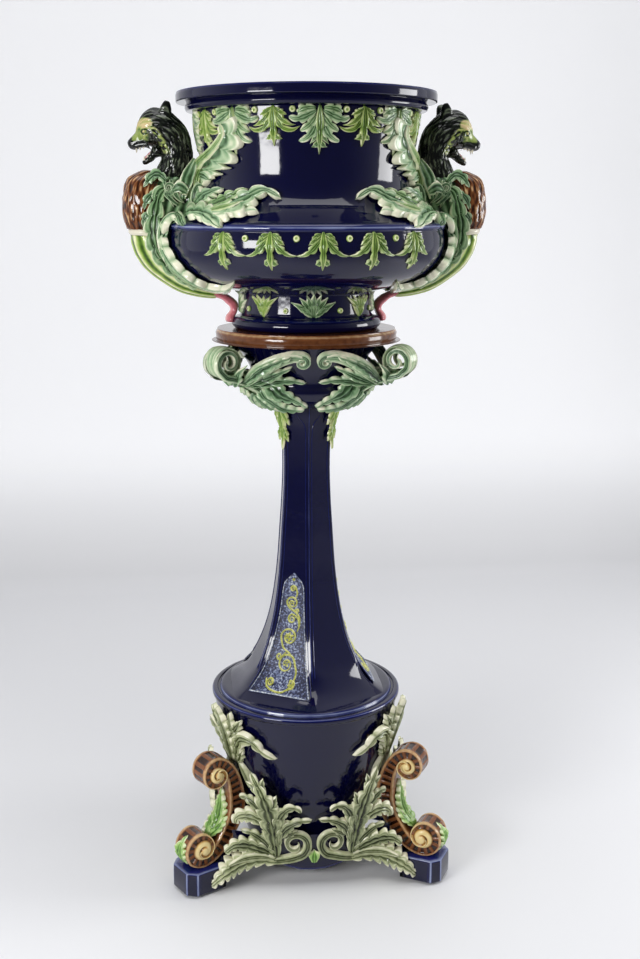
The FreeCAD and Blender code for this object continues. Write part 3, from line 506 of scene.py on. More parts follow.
def make_stage():
    """Pale studio: one sweep of paper, three soft lamps, and the camera of the photograph."""
    scene = bpy.context.scene
    scene.view_settings.view_transform = "Standard"
    make_world()
    make_paper()
    power = sizes()
    for name, at, size, energy in (("left_softbox", (-1.42, -1.45, 1.0), (0.75, 0.5), power.left_light),
                                   ("right_softbox", (2.0, -0.1, 0.95), (0.8, 0.9), power.right_light),
                                   ("top_softbox", (0.0, -0.8, 3.2), (2.4, 1.6), power.top_light)):
        lamp = bpy.data.lights.new(name, "AREA")
        lamp.shape = "RECTANGLE"
        lamp.size, lamp.size_y = size
        lamp.energy = energy
        stand_at(bpy.data.objects.new(name, lamp), at, LAMP_AIM - Vector(at))
    lens = bpy.data.cameras.new("camera")
    lens.lens = sizes().lens
    lens.sensor_width = 36.0
    lens.shift_x = 0.02347
    x, y, z = CAMERA_PLACE
    camera = bpy.data.objects.new("camera", lens)
    stand_at(camera, (x, y + sizes().axis_y, z), CAMERA_WAY)
    scene.camera = camera


# ---------------------------------------------------------------- jardiniere
# Turned profiles are (radius, height) points; a point given twice makes a corner.
BOWL_WALL = [(97, 915), (97, 915), (120, 921), (152, 930), (180, 943), (197, 960), (204, 977), (205.2, 992),
             (203.5, 1006), (203.5, 1006), (205.6, 1010), (204.5, 1015), (200, 1018.5), (200, 1018.5),
             (194, 1021.5), (181, 1030), (165, 1042), (156, 1060), (152.3, 1080), (153, 1105),
             (156.5, 1135), (159.5, 1155), (162, 1173.5), (162, 1173.5)]
BOWL_INSIDE = [(151, 1173), (151, 1173), (148, 1150), (142, 1110), (141, 1078), (150, 1052), (176, 1026),
               (190, 1008), (194, 990), (186, 965), (165, 948), (120, 932), (97, 926.5), (40, 926),
               (0.1, 926)]
RIM = [(151, 1173.5), (151, 1173.5), (173, 1173.5), (176.5, 1176), (177.5, 1179.5), (175.5, 1184),
       (175, 1186), (175, 1186), (188.6, 1186), (190.2, 1187.2), (190.4, 1190), (190.4, 1196.5),
       (189.3, 1199.2), (187, 1200), (156, 1200), (152.5, 1198.5), (151, 1195), (151, 1195), (151, 1174),
       (151, 1173.5)]
FOOT_RING = [(84, 861.6), (84, 861.6), (103, 861.6), (110, 864), (113, 870), (110.5, 877), (104, 880),
             (104, 880), (101, 881), (98, 885), (97, 892), (97, 915), (97, 915), (84, 915), (84, 915),
             (84, 862)]
DISH = [(0.1, 861.4), (126, 861.4), (131, 861.2), (135, 859.5), (137.2, 855), (137.2, 855), (136.2, 852),
        (137, 849), (136.4, 845.5), (133.5, 843.5), (133.5, 843.5), (0.1, 843.5)]


def edge_highlight(height, breadth):
    """Painted highlight along the edge of a profile that stands at a height: 1 on the edge, less away from
    it.
    """
    return lambda p: np.exp(-((p[:, 1] - height) / breadth) ** 2)


def make_bowl():
    """Hollow bowl, its rim and its foot ring."""
    clay = Clay()
    # The pale band on the ridge of the belly is a painted highlight, laid into the glaze value.
    turned(clay, BOWL_WALL, 150, glaze=lambda p: 0.45 + 0.5 * edge_highlight(1012, 4.0)(p))
    turned(clay, BOWL_INSIDE, 80)
    turned(clay, [(0.1, 915), (97, 915)], 6)
    piece("pot_bowl", clay, GLAZES["cobalt"], "jardiniere", ["bowl"])
    clay = Clay()
    # The paler top outer edge of the rim is a painted highlight, laid into the glaze value.
    turned(clay, RIM, 110, glaze=lambda p: 0.45 + 0.42 * soft(187, 190.5, p[:, 0]) * soft(1197, 1199,
                                                                                          p[:, 1]))
    piece("pot_rim", clay, GLAZES["cobalt"], "jardiniere", ["bowl_rim"])
    clay = Clay()
    # The lighter band on the top of the foot ring is a painted highlight, laid into the glaze value.
    turned(clay, FOOT_RING, 90, glaze=lambda p: 0.45 + 0.35 * edge_highlight(879, 2.0)(p) * soft(100, 106, p[:, 0]))
    piece("pot_foot", clay, GLAZES["cobalt"], "jardiniere", ["bowl_foot"])


def make_dish():
    """Amber dish on top of the capital."""
    clay = Clay()
    # The pale band round the dish is a painted highlight, laid into the glaze value.
    turned(clay, DISH, 70, glaze=lambda p: 0.5 + 0.4 * edge_highlight(859, 2.0)(p) * (p[:, 0] > 120))
    piece("stand_dish", clay, GLAZES["amber"], "stand", ["dish"])


# ---------------------------------------------------------------- relief bands of the pot
def ring_group():
    """Geometry Nodes group that sets copies of one piece round the axis of the pot."""
    group = bpy.data.node_groups.new("ring_of_copies", "GeometryNodeTree")
    add = group.interface.new_socket
    for name, kind in (("Copy", "NodeSocketObject"), ("Count", "NodeSocketInt"),
                       ("First azimuth", "NodeSocketFloat"), ("Step", "NodeSocketFloat"),
                       ("Run length", "NodeSocketFloat"), ("Jump after a run", "NodeSocketFloat"),
                       ("Axis", "NodeSocketVector"), ("Material", "NodeSocketMaterial")):
        add(name, in_out="INPUT", socket_type=kind)
    add("Geometry", in_out="OUTPUT", socket_type="NodeSocketGeometry")
    given = group.nodes.new("NodeGroupInput")
    index = node(group, "GeometryNodeInputIndex")
    even = node(group, "ShaderNodeMath", [(0, index, 0), (1, given, "Step"), (2, given, "First azimuth")],
                operation="MULTIPLY_ADD")
    run = node(group, "ShaderNodeMath", [(0, index, 0), (1, given, "Run length")], operation="DIVIDE")
    whole = node(group, "ShaderNodeMath", [(0, run, 0)], operation="FLOOR")
    turn = node(group, "ShaderNodeMath", [(0, whole, 0), (1, given, "Jump after a run"), (2, even, 0)],
                operation="MULTIPLY_ADD")
    lean = node(group, "ShaderNodeCombineXYZ", [("Z", turn, 0)])
    points = node(group, "GeometryNodePoints", [("Count", given, "Count"), ("Position", given, "Axis")])
    copy = node(group, "GeometryNodeObjectInfo", [("Object", given, "Copy")])
    placed = node(group, "GeometryNodeInstanceOnPoints",
                  [("Points", points, 0), ("Instance", copy, "Geometry"), ("Rotation", lean, 0)])
    real = node(group, "GeometryNodeRealizeInstances", [("Geometry", placed, 0)])
    dressed = node(group, "GeometryNodeSetMaterial", [("Geometry", real, 0),
                                                      ("Material", given, "Material")])
    node(group, "NodeGroupOutput", [("Geometry", dressed, 0)])
    return group


def ring(name, clay, count, first, material, body="jardiniere", nodes=(), step=None, run=1000,
         jump=0.0):
    """Copies of a clay round the axis, turned to one plain mesh that replaces the nodes it stands for."""
    group = bpy.data.node_groups.get("ring_of_copies") or ring_group()
    copy = bpy.data.objects.new(name + "_copy", clay.mesh(name + "_copy"))
    item = bpy.data.objects.new(name, bpy.data.meshes.new(name + "_points"))
    for made in (copy, item):
        bpy.context.scene.collection.objects.link(made)
    modifier = item.modifiers.new("ring", "NODES")
    modifier.node_group = group
    values = {"Copy": copy, "Count": count, "First azimuth": math.radians(first),
              "Step": math.radians(step or 360.0 / count), "Run length": float(run),
              "Jump after a run": math.radians(jump), "Axis": (0.0, sizes().axis_y, 0.0),
              "Material": GLAZES[material]}
    for socket in group.interface.items_tree:
        if socket.in_out == "INPUT":
            modifier[socket.identifier] = values[socket.name]
    seen = item.evaluated_get(bpy.context.evaluated_depsgraph_get())
    mesh = bpy.data.meshes.new_from_object(seen)
    item.modifiers.clear()
    item.data = mesh
    bpy.data.objects.remove(copy)
    if not len(mesh.polygons):
        raise RuntimeError("the ring of %s came out empty" % name)
    return settle(item, GLAZES[material], body, nodes)


def threefold(name, clay, first, material, node_name):
    """Three like pieces of the stand, 120 degrees apart."""
    return ring(name, clay, 3, first, material, "stand", [node_name % k for k in (1, 2, 3)])


def frond(clay, place, top, rise=-1):
    """Blade tool whose points are millimetres across and away from the top of a leaf."""
    def draw(points, width, thick, **more):
        spine = [(x / place.scale(top + rise * d), top + rise * d, h) for x, d, h in points]
        blade(clay, place, spine, width, thick, **more)
    return draw


def stud(place, height, share=1.0, lift=3.6):
    """Round boss with a dimple, at azimuth 0 of a wall."""
    clay = Clay()
    a = np.linspace(0, 2 * np.pi, 20, endpoint=False)[None, :]
    r = np.array([1.15, 1.0, 0.85, 0.6, 0.4, 0.2, 0.01])[:, None] * share * sizes().stud_radius / MM
    h = np.array([-0.5, 0.45, 0.85, 1.0, 0.85, 0.7, 0.65])[:, None] * lift
    scale = place.scale(height)
    clay.patch(place(r * np.cos(a) / scale, height + r * np.sin(a), h + 0 * a),
               np.array([0.2, 0.5, 0.9, 0.95, 0.6, 0.4, 0.4])[:, None], 1.0, around=True)
    return clay


NECK_LEAF_TOP = 1172
BELLY_LEAF_TOP = 1006
FOOT_LEAF_BASE = 884
FOOT_WALL = [(101, 881), (98, 885), (97, 892), (97, 908), (99, 914), (106, 919), (120, 925)]
# Leaves of a fan and of a sprig on the foot ring: reach across, reach up and half width.
FAN = ((0, 36, 6), (11, 33, 5.5), (21, 29, 5.5), (33, 22, 5), (24, 14, 5), (15, 7, 4))
SPRIG = ((0, 30, 5), (13, 31, 4.5), (25, 29, 4.5), (13, 16, 4))


def make_bands():
    """Leaf and stud bands of the neck, the belly and the foot ring."""
    place = wall(BOWL_WALL)
    large, small, low = Clay(), Clay(), Clay()
    for m in (-1, 1):
        leaf = frond(large, place, NECK_LEAF_TOP)
        leaf([(m * 5, 3, 1), (m * 14, 3, 2), (m * 23, 5, 3), (m * 30, 10, 1)], 7, 5, lobes=3, tint=0.2,
             tip=0.4, wash=0.1)
        leaf([(m * 4, 6, 1), (m * 18, 13, 2.5), (m * 31, 17, 3), (m * 42, 14, 1)], 8, 5.5, lobes=3,
             tint=0.1, tip=0.35, wash=0.12)
        leaf([(m * 4, 12, 1), (m * 13, 24, 3), (m * 21, 30, 3), (m * 26, 33, 1)], 7, 5, lobes=2, tint=0.2,
             tip=0.4, wash=0.12)
        leaf([(m * 3, 17, 1), (m * 10, 34, 3), (m * 19, 43, 3), (m * 28.5, 46, 1)], 8, 5, lobes=3, tint=0.1,
             tip=0.4, wash=0.12)
        leaf([(m * 3, 26, 1), (m * 7, 42, 3), (m * 13, 50, 2)], 4.5, 4.5, lobes=2, tint=0.3)
        leaf([(0, 44, 2), (m * 5, 51, 3), (m * 11, 54, 1)], 4, 4.5, lobes=1, tint=0.3)
        leaf = frond(small, place, NECK_LEAF_TOP)
        leaf([(m * 2, 2, 1), (m * 9, 7, 2), (m * 19, 12, 1)], 4.5, 4, lobes=3, tint=1)
        leaf([(m * 3, 6, 1), (m * 13, 18, 3), (m * 23, 24, 3), (m * 31, 25, 1)], 5, 4.5, lobes=2, tint=1)
        leaf([(m * 3, 12, 1), (m * 12, 27, 3), (m * 25, 31, 3), (m * 37, 26, 1)], 5.4, 4.5, lobes=2, tint=1)
        leaf([(0, 34, 2), (m * 6, 41, 3), (m * 12, 43, 1)], 4, 4.5, lobes=1, tint=0.8)
        leaf = frond(low, place, BELLY_LEAF_TOP)
        leaf([(m * 2, 2, 0.5), (m * 9, 5, 2), (m * 16, 10, 1)], 4, 4, lobes=2, tint=0.8)
        leaf([(m * 3, 5, 0.5), (m * 12, 11, 2), (m * 20, 17, 1)], 4.2, 4, lobes=2, tint=0.8)
        leaf([(m * 3, 8, 1), (m * 13, 21, 2.5), (m * 25, 29, 2.5), (m * 37, 31, 1)], 6, 4.5, lobes=3,
             tint=0.7)
        leaf([(0, 35, 1), (m * 5, 39, 2.5), (m * 10, 42, 1)], 4, 4, lobes=1, tint=0.6)
    frond(large, place, NECK_LEAF_TOP)([(0, -1, 2), (0, 24, 3.5), (0, 46, 3), (0, 64, 1)], 6.5, 5, lobes=2,
                                       tint=0.6, rows=40)
    frond(small, place, NECK_LEAF_TOP)([(0, -1, 1.5), (0, 24, 3.5), (0, 40, 3), (0, 53, 1)], 7, 5, lobes=2,
                                       tint=1, rows=40)
    frond(low, place, BELLY_LEAF_TOP)([(0, -1, 1), (0, 20, 3), (0, 36, 3), (0, 51, 1)], 6.5, 4.5, lobes=2,
                                      tint=0.9, rows=40)
    count = sizes().neck_leaves
    ring("neck_leaves_large", large, count, 0, "sea", nodes=["upper_leaves_large"])
    ring("neck_leaves_small", small, count, 180.0 / count, "sea",
         nodes=["upper_leaves_small"])
    ring("neck_studs", stud(place, 1167.5), 16, 13.05, "sea", step=18.9, run=2,
         jump=7.2, nodes=["upper_studs"])
    ring("belly_leaves", low, 10, -40, "sea", step=20, run=5, jump=80,
         nodes=["lower_leaves"])
    ring("belly_studs", stud(place, 998), 8, -30, "sea", step=20, run=4, jump=100,
         nodes=["lower_studs"])
    neck = wall(FOOT_WALL)
    fan = Clay()
    grow = frond(fan, neck, FOOT_LEAF_BASE, 1)
    for across, up, width in FAN:
        for m in ((-1, 1) if across else (1,)):
            grow([(m * across * 0.12, 0, 1), (m * across * 0.45, up * 0.55, 2.5), (m * across, up, 2)],
                 width, 4.5, lobes=2, tint=0.15)
    sprig = Clay()
    grow = frond(sprig, neck, FOOT_LEAF_BASE, 1)
    for across, up, width in SPRIG:
        for m in ((-1, 1) if across else (1,)):
            grow([(0, -1, 1), (m * across * 0.35, up * 0.6, 2.5), (m * across, up, 2)], width, 4.5, lobes=2,
                 tint=1)
    fan.add(sprig, 45)
    ring("foot_ring_leaves", fan, 4, 0, "sea", nodes=["foot_leaves"])
    ring("foot_ring_studs", stud(neck, 893, 0.93, 3.0), 8, 24, "sea", step=42, run=2,
         jump=6, nodes=["foot_studs"])


# ---------------------------------------------------------------- handles
# Half width of a handle's flank, by height.
FLANK_HEIGHTS = [905, 930, 985, 1075, 1110]
FLANK_DEPTHS = [15, 19, 29, 29, 18]
# Outer and inner edge of the fluted web between a handle's body and the pot, as (x, z) points.
WEB_OUTSIDE = [(212, 1084), (224, 1070), (226, 1048), (233, 1025), (234, 998), (229, 972), (216, 953),
               (198, 938), (180, 927), (156, 919)]
WEB_INSIDE = [(158, 1084), (160, 1066), (160, 1046), (172, 1024), (196, 1016), (204, 997), (200, 975),
              (187, 957), (168, 944), (148, 932)]


def handle_face():
    """Map of (x, z, lift), as the front view shows them, onto the pot or the flank of the right handle."""
    line = curve(BOWL_WALL, 400)
    level = np.maximum.accumulate(line[:, 1])

    def depth(x, z):
        round_wall = np.sqrt(np.maximum(np.interp(z, level, line[:, 0]) ** 2 - x * x, 0))
        flank = np.interp(z, FLANK_HEIGHTS, FLANK_DEPTHS)
        return flank + 5 * np.logaddexp(0, (round_wall - flank) / 5)

    def place(u, v, h):
        u, v, h = np.broadcast_arrays(u, v, h)
        normal = np.stack([depth(u - 1, v) - depth(u + 1, v), -2 + 0 * u,
                           depth(u, v - 1) - depth(u, v + 1)], -1)
        normal /= np.linalg.norm(normal, axis=-1, keepdims=True)
        return np.stack([u, -depth(u, v), v], -1) + h[..., None] * normal

    place.scale = 1.0
    return place


def make_handle_leaves():
    """Acanthus arms that spread from each handle over the pot, and the leaf that wraps its flank."""
    face = handle_face()
    clay = Clay()

    def leaf(points, width, thick=7.0, **more):
        blade(clay, face, points, width, thick, **more)

    outer, inner = curve(WEB_OUTSIDE, 60), curve(WEB_INSIDE, 60)
    t = np.linspace(0, 1, 33)[None, :, None]
    web = outer[:, None] * (1 - t) + inner[:, None] * t
    groove = np.cos(10 * np.pi * t[..., 0]) + 0 * web[..., 0]
    lift = 1.2 * groove - 14 * (2 * np.abs(t[..., 0] - 0.5)) ** 12
    lift[[0, -1]] = -14
    clay.patch(face(web[..., 0], web[..., 1], lift), 0.3 + 0.25 * groove, 0.0)
    leaf([(164, 1064, 3), (159, 1084, 6), (146, 1104, 7), (130, 1120, 7), (121, 1137, 6), (127, 1153, 4)],
         33, 8, lobes=6, rows=90, cols=33, side=1, sweep=0.35, root=0.5, tip=0.6, wash=0.1)
    leaf([(166, 1052, 3), (162, 1078, 8), (149, 1101, 10), (132, 1119, 10), (122, 1138, 8), (127, 1153, 5)],
         6, 6, rows=60, tip=0.5, tint=0.5, wash=0.1)
    leaf([(152, 1084, 6), (143, 1082, 10), (138, 1076, 8)], 8, 8, rows=30, tip=0.6)
    leaf([(168, 1034, 2), (150, 1029, 6), (130, 1030, 8), (107, 1037, 9), (86, 1052, 8), (70, 1060, 6),
          (50, 1049, 3)], 15, 8, lobes=6, rows=90, cols=23, tip=0.3, wash=0.08)
    leaf([(164, 1036, 5), (152, 1042, 9), (141, 1053, 10), (124, 1064, 6)], 9.5, 7, lobes=4, rows=44,
         cols=17, tip=0.3)
    leaf([(146, 1034, 7), (126, 1038, 11), (109, 1050, 11), (93, 1063, 6)], 10, 7, lobes=4, rows=44,
         cols=17, tip=0.3, tint=0.3)
    leaf([(166, 1030, 4), (142, 1026, 9), (118, 1030, 11), (96, 1040, 10)], 3, 6, rows=50, tint=0.5)
    leaf([(160, 1026, 4), (138, 1023, 8), (112, 1024, 8), (82, 1030, 4)], 13, 7, lobes=5, rows=60, cols=17,
         side=-1, wash=0.2, tip=0.4)
    leaf([(176, 1022, 5), (166, 1022, 8), (150, 1018, 9), (131, 1012, 5)], 21, 8, lobes=4, rows=64, cols=25,
         side=-1, sweep=0.3, tip=0.45, root=0.7, wash=0.15)
    leaf([(168, 1084, 2), (168, 1062, 4), (168, 1040, 4), (162, 1026, 2)], 4, 6, rows=40)
    leaf([(167, 1030, 5), (168, 1052, 8), (162, 1068, 9), (153, 1066, 9), (152, 1054, 8), (158, 1046, 6)],
         4.5, 6, rows=60, tip=0.4)
    leaf([(186, 1018, 2), (196, 1026, 6), (207, 1018, 9), (213, 1000, 10), (208, 977, 10), (194, 955, 10),
          (174, 938, 9), (150, 926, 8), (130, 922, 7), (114, 936, 4)], 10, 8, lobes=0, rows=110, cols=17,
         sweep=0.1, root=0.6, tip=0.35, ribs=2)
    leaf([(183, 1013, 2), (191, 1020, 7), (201, 1014, 9), (205, 1000, 10), (200, 980, 10), (187, 961, 10),
          (168, 944, 9), (148, 933, 7), (126, 930, 5), (115, 938, 3)], 19, 9, lobes=9, rows=130, cols=29,
         side=1, sweep=0.05, root=0.5, tip=0.4, ribs=3, wash=0.12)
    leaf([(206, 1066, 3), (216, 1058, 4), (222, 1035, 5), (226, 1008, 5), (222, 982, 5), (206, 957, 5),
          (184, 937, 5), (160, 922, 3)], 15, 8, lobes=8, rows=90, cols=21, tip=0.5, root=0.7, tint=0.1)
    leaf([(205, 1074, 3), (216, 1083, 4), (228, 1080, 4), (240, 1066, 1)], 9, 6, lobes=4, rows=40)
    leaf([(214, 1060, 3), (228, 1056, 5), (236, 1046, 4), (241, 1032, 1)], 7, 6, lobes=3, rows=36)
    leaf([(220, 1035, 3), (232, 1030, 5), (240, 1020, 3), (241, 1010, 1)], 7, 6, lobes=3, rows=36)
    leaf([(210, 1076, 3), (206, 1066, 6), (200, 1050, 5), (196, 1038, 2)], 4.5, 6, lobes=0, rows=30)
    leaf([(200, 1078, 3), (197, 1066, 6), (190, 1052, 5), (180, 1044, 3)], 4.5, 6, lobes=0, rows=30)
    scroll(clay, face, (203, 1066), 9, 1.2, -60, 3.6, 7, -1, 0.25, 6, tail=[(190, 1042, 4), (200, 1050, 6)])
    leaf([(184, 1050, 6), (178, 1072, 8), (170, 1090, 8), (163, 1106, 4)], 10, 8, rows=44, tip=0.5, ribs=1)
    leaf([(198, 1062, 7), (188, 1066, 11), (176, 1060, 8)], 9, 8, rows=30, tip=0.6, ribs=1)
    leaf([(224, 990, 4), (226, 976, 7), (220, 968, 7), (214, 972, 4)], 4, 5, rows=30)
    leaf([(208, 962, 4), (206, 950, 7), (198, 946, 7), (194, 951, 4)], 4, 5, rows=30)
    leaf([(188, 944, 4), (184, 934, 7), (176, 931, 7), (172, 936, 4)], 4, 5, rows=30)
    for side, m in (("right", 1), ("left", -1)):
        whole = Clay()
        for front in (1, -1):
            whole.add(clay, 0, (m, front))
        piece("handle_leaves_" + side, whole, GLAZES["sea"], "jardiniere",
              [side + "_leaves_front", side + "_leaves_back"])


BODY_SQUARENESS = 2.2


def sweep(clay, stations, rows=40, cols=32, relief=None, tint=0.0, value=0.5):
    """Rounded body between pairs of outline points.

    A station is two (x, z) points, the half width, and the offset in Y where it isn't 0. relief and
    value depend on the travel in millimetres and the turn in radians; value may be one number.
    """
    line = curve([(*station, 0)[:6] for station in stations], rows)
    turn = np.linspace(0, 2 * np.pi, cols, endpoint=False)
    c = np.sign(np.cos(turn)) * np.abs(np.cos(turn)) ** (2 / BODY_SQUARENESS)
    q = np.sign(np.sin(turn)) * np.abs(np.sin(turn)) ** (2 / BODY_SQUARENESS)
    middle = (line[:, 0:2] + line[:, 2:4]) / 2
    half = (line[:, 2:4] - line[:, 0:2]) / 2
    travel = np.r_[0, np.cumsum(np.linalg.norm(np.diff(middle, axis=0), axis=1))][:, None]
    swell = relief(travel, turn[None, :]) if relief else 0 * travel
    reach = 1 + swell / np.maximum(np.linalg.norm(half, axis=1)[:, None], 3)
    x = middle[:, :1] + half[:, :1] * c * reach
    z = middle[:, 1:2] + half[:, 1:2] * c * reach
    y = line[:, 5:6] + (line[:, 4:5] + swell) * q
    points = np.stack([x, y, z], -1)
    heart = points.mean(1, keepdims=True)
    points = np.concatenate([heart[:1] + 0 * points[:1], points, heart[-1:] + 0 * points[-1:]])
    depth = (value(travel, turn[None, :]) if callable(value) else value) + 0 * x
    clay.patch(points, np.concatenate([depth[:1], depth, depth[-1:]]), tint, around=True)


HEAD = [(224, 1084, 178, 1068, 24), (217, 1098, 169, 1097, 25), (212, 1109, 167, 1113, 24.5),
        (214, 1119, 169, 1130, 25), (219, 1123.5, 174, 1148, 26), (224, 1125, 186, 1163, 26.5),
        (228.5, 1125.5, 203, 1176, 25.5), (232, 1126, 221, 1178.5, 23), (235, 1125.5, 235, 1173, 20),
        (238.5, 1124.5, 244.5, 1159, 16), (243, 1122, 248, 1146, 12.5), (250, 1120, 254, 1139, 10.5),
        (256, 1121, 259.5, 1133.5, 8), (259.5, 1124.5, 261, 1130, 4)]
JAW = [(208, 1112, 224, 1127, 15), (217, 1110.5, 227, 1119, 12), (225.5, 1104.5, 231.5, 1112.5, 9.5),
       (233, 1100.3, 237, 1107, 7.5), (238, 1098.7, 240.5, 1103.5, 4.5)]


# Length in millimetres, turns and seed of the noise that makes the locks and the hairs of the fur.
HAIR = ((11.0, 7.5, 3.0), (6.0, 17.0, 9.0))
HEAD_VOXEL = 0.00115
# Roots of the teeth on one side: x, z and how far the tooth stands up.
TEETH = ((237, 1105, 6.5), (232, 1109.5, 4), (228, 1112.5, 3.5), (248, 1122.5, -7), (243, 1123.5, -4),
         (238, 1125, -3.5))


def melted_head():
    """Skull, jaw, ears, brows and lips melted into one skin: its points, their normals and its faces."""
    clay = Clay()
    sweep(clay, HEAD, 70, 48)
    sweep(clay, JAW, 30, 32)
    for m in (-1, 1):
        sweep(clay, [(215, 1167, 196, 1159, 7, m * 13), (213.5, 1176, 196, 1170, 6, m * 15),
                     (210, 1183.5, 197, 1180, 4.4, m * 16.5), (206, 1188.4, 199, 1186.5, 2.6, m * 17.5)],
              16, 20)
        sweep(clay, [(240, 1142, 233, 1140, 3, m * 15.5), (238, 1147.5, 232, 1144, 4, m * 17.5),
                     (232, 1149.5, 228, 1145, 3, m * 19)], 12, 16)
        sweep(clay, [(252, 1121, 252, 1129, 3, m * 8.0), (242, 1123, 243, 1131, 3.6, m * 11.5),
                     (232, 1123.5, 233, 1131, 3, m * 16), (224, 1118, 229, 1122, 2, m * 19)], 24, 16)
    item = bpy.data.objects.new("head_skin", clay.mesh("head_skin"))
    bpy.context.scene.collection.objects.link(item)
    melt = item.modifiers.new("melt", "REMESH")
    melt.mode = "VOXEL"
    melt.voxel_size = HEAD_VOXEL
    ease = item.modifiers.new("ease", "SMOOTH")
    ease.iterations = 5
    ease.factor = 0.5
    seen = item.evaluated_get(bpy.context.evaluated_depsgraph_get())
    mesh = bpy.data.meshes.new_from_object(seen)
    bpy.data.objects.remove(item)
    count = len(mesh.vertices)
    co = np.empty(count * 3, np.float32)
    mesh.vertices.foreach_get("co", co)
    co = co.reshape(-1, 3).astype(float) / MM
    out = np.empty(count * 3, np.float32)
    mesh.vertices.foreach_get("normal", out)
    out = out.reshape(-1, 3).astype(float)
    quads = [tuple(face.vertices) for face in mesh.polygons]
    bpy.data.meshes.remove(mesh)
    return co, out, quads


def comb_head(co, out):
    """Fur that runs down the neck, and the colours of the face: points, glaze values and tints."""
    line = curve(HEAD, 160)
    middle = (line[:, 0:2] + line[:, 2:4]) / 2
    along = np.r_[0, np.cumsum(np.linalg.norm(np.diff(middle, axis=0), axis=1))]
    near = np.argmin(((co[:, None, [0, 2]] - middle[None]) ** 2).sum(-1), 1)
    lean = line[near, 2:4] - line[near, 0:2]
    lean /= np.linalg.norm(lean, axis=1, keepdims=True)
    back = ((co[:, [0, 2]] - middle[near]) * lean).sum(1)
    turn = np.arctan2(back, co[:, 1])
    run = along[near] + 0.35 * back
    lock, hair = (np.array([noise.noise(Vector((s / length, t * turns, seed))) for s, t in zip(run, turn)])
                  for length, turns, seed in HAIR)
    x, y, z = co.T
    snout = soft(236, 243, x) * soft(1150, 1143, z)
    nose = np.maximum(soft(252, 256, x), soft(1134.5, 1131, z + 0.25 * (x - 240)) * soft(233, 238, x))
    smooth = np.maximum(snout, nose)
    fur = (0.62 * lock + 0.38 * hair) * (1 - 0.75 * smooth)
    co += out * (sizes().fur_relief / MM * fur)[:, None]
    depth = np.clip(0.44 + 2.3 * fur, 0, 1)
    brow = soft(9.5, 6.5, np.hypot((x - 235) / 1.35, z - 1156))
    ruff_line = (x - 224.5) - (z - 1149.3) * 0.62 - 2.0 * np.sin((z - 1149) / 9.0)
    ruff = soft(7, 2, np.abs(ruff_line)) * soft(1156, 1150, z) * soft(1112, 1118, z)
    cheek = soft(228, 234, x) * soft(1130.5, 1134, z) * soft(1158, 1152, z)
    face = np.clip(brow + ruff * soft(12, 15, np.abs(y)) * soft(-0.12, 0.05, lock) + cheek, 0, 1)
    face = face * (1 - nose)
    depth = np.where(face > 0.3, np.clip(0.55 + 0.9 * fur + 0.4 * brow, 0, 1), depth * (1 - 0.8 * nose))
    eye = soft(3.6, 2.6, np.hypot(x - 235.5, (z - 1144.5) * 1.4)) * (np.abs(y) > 9)
    rim = soft(6.2, 5.0, np.hypot(x - 235.5, (z - 1144.5) * 1.3)) * (1 - eye) * (np.abs(y) > 9)
    depth = depth * (1 - rim) + eye * 0.3
    return co, depth, face


def make_heads():
    """Bear heads with their mouths and teeth."""
    co, out, quads = melted_head()
    co, depth, face = comb_head(co, out)
    for side, m in (("right", 1), ("left", -1)):
        skin = Clay()
        skin.co.append(co * np.array([m, 1, 1]))
        skin.glaze.append(np.stack([depth, face], -1))
        skin.faces.append(np.array([q[::m] for q in quads]))
        skin.count = len(co)
        piece("bear_head_" + side, skin, GLAZES["fur"], "jardiniere", [side + "_bear_head"])
        mouth = Clay()
        sweep(mouth, [(219, 1115, 224, 1121, 5), (226, 1111, 230, 1116.5, 6.5),
                      (233, 1106.5, 236, 1110.5, 5.5), (238, 1104.5, 239, 1106.5, 3)], 20, 20, value=0.75)
        for y0 in (-5.2, 5.2):
            for x0, z0, up in TEETH:
                y1 = y0 if x0 > 235 else 1.3 * y0
                sweep(mouth, [(x0 - 1.7, z0, x0 + 1.7, z0, 1.6, y1),
                              (x0 - 1.1, z0 + up * 0.6, x0 + 1.1, z0 + up * 0.6, 1.1, y1),
                              (x0 - 0.2, z0 + up, x0 + 0.2, z0 + up, 0.2, y1)], 6, 8, tint=1.0, value=1.0)
        whole = Clay()
        whole.add(mouth, 0, (m, 1))
        piece("bear_mouth_" + side, whole, GLAZES["pink"], "jardiniere")


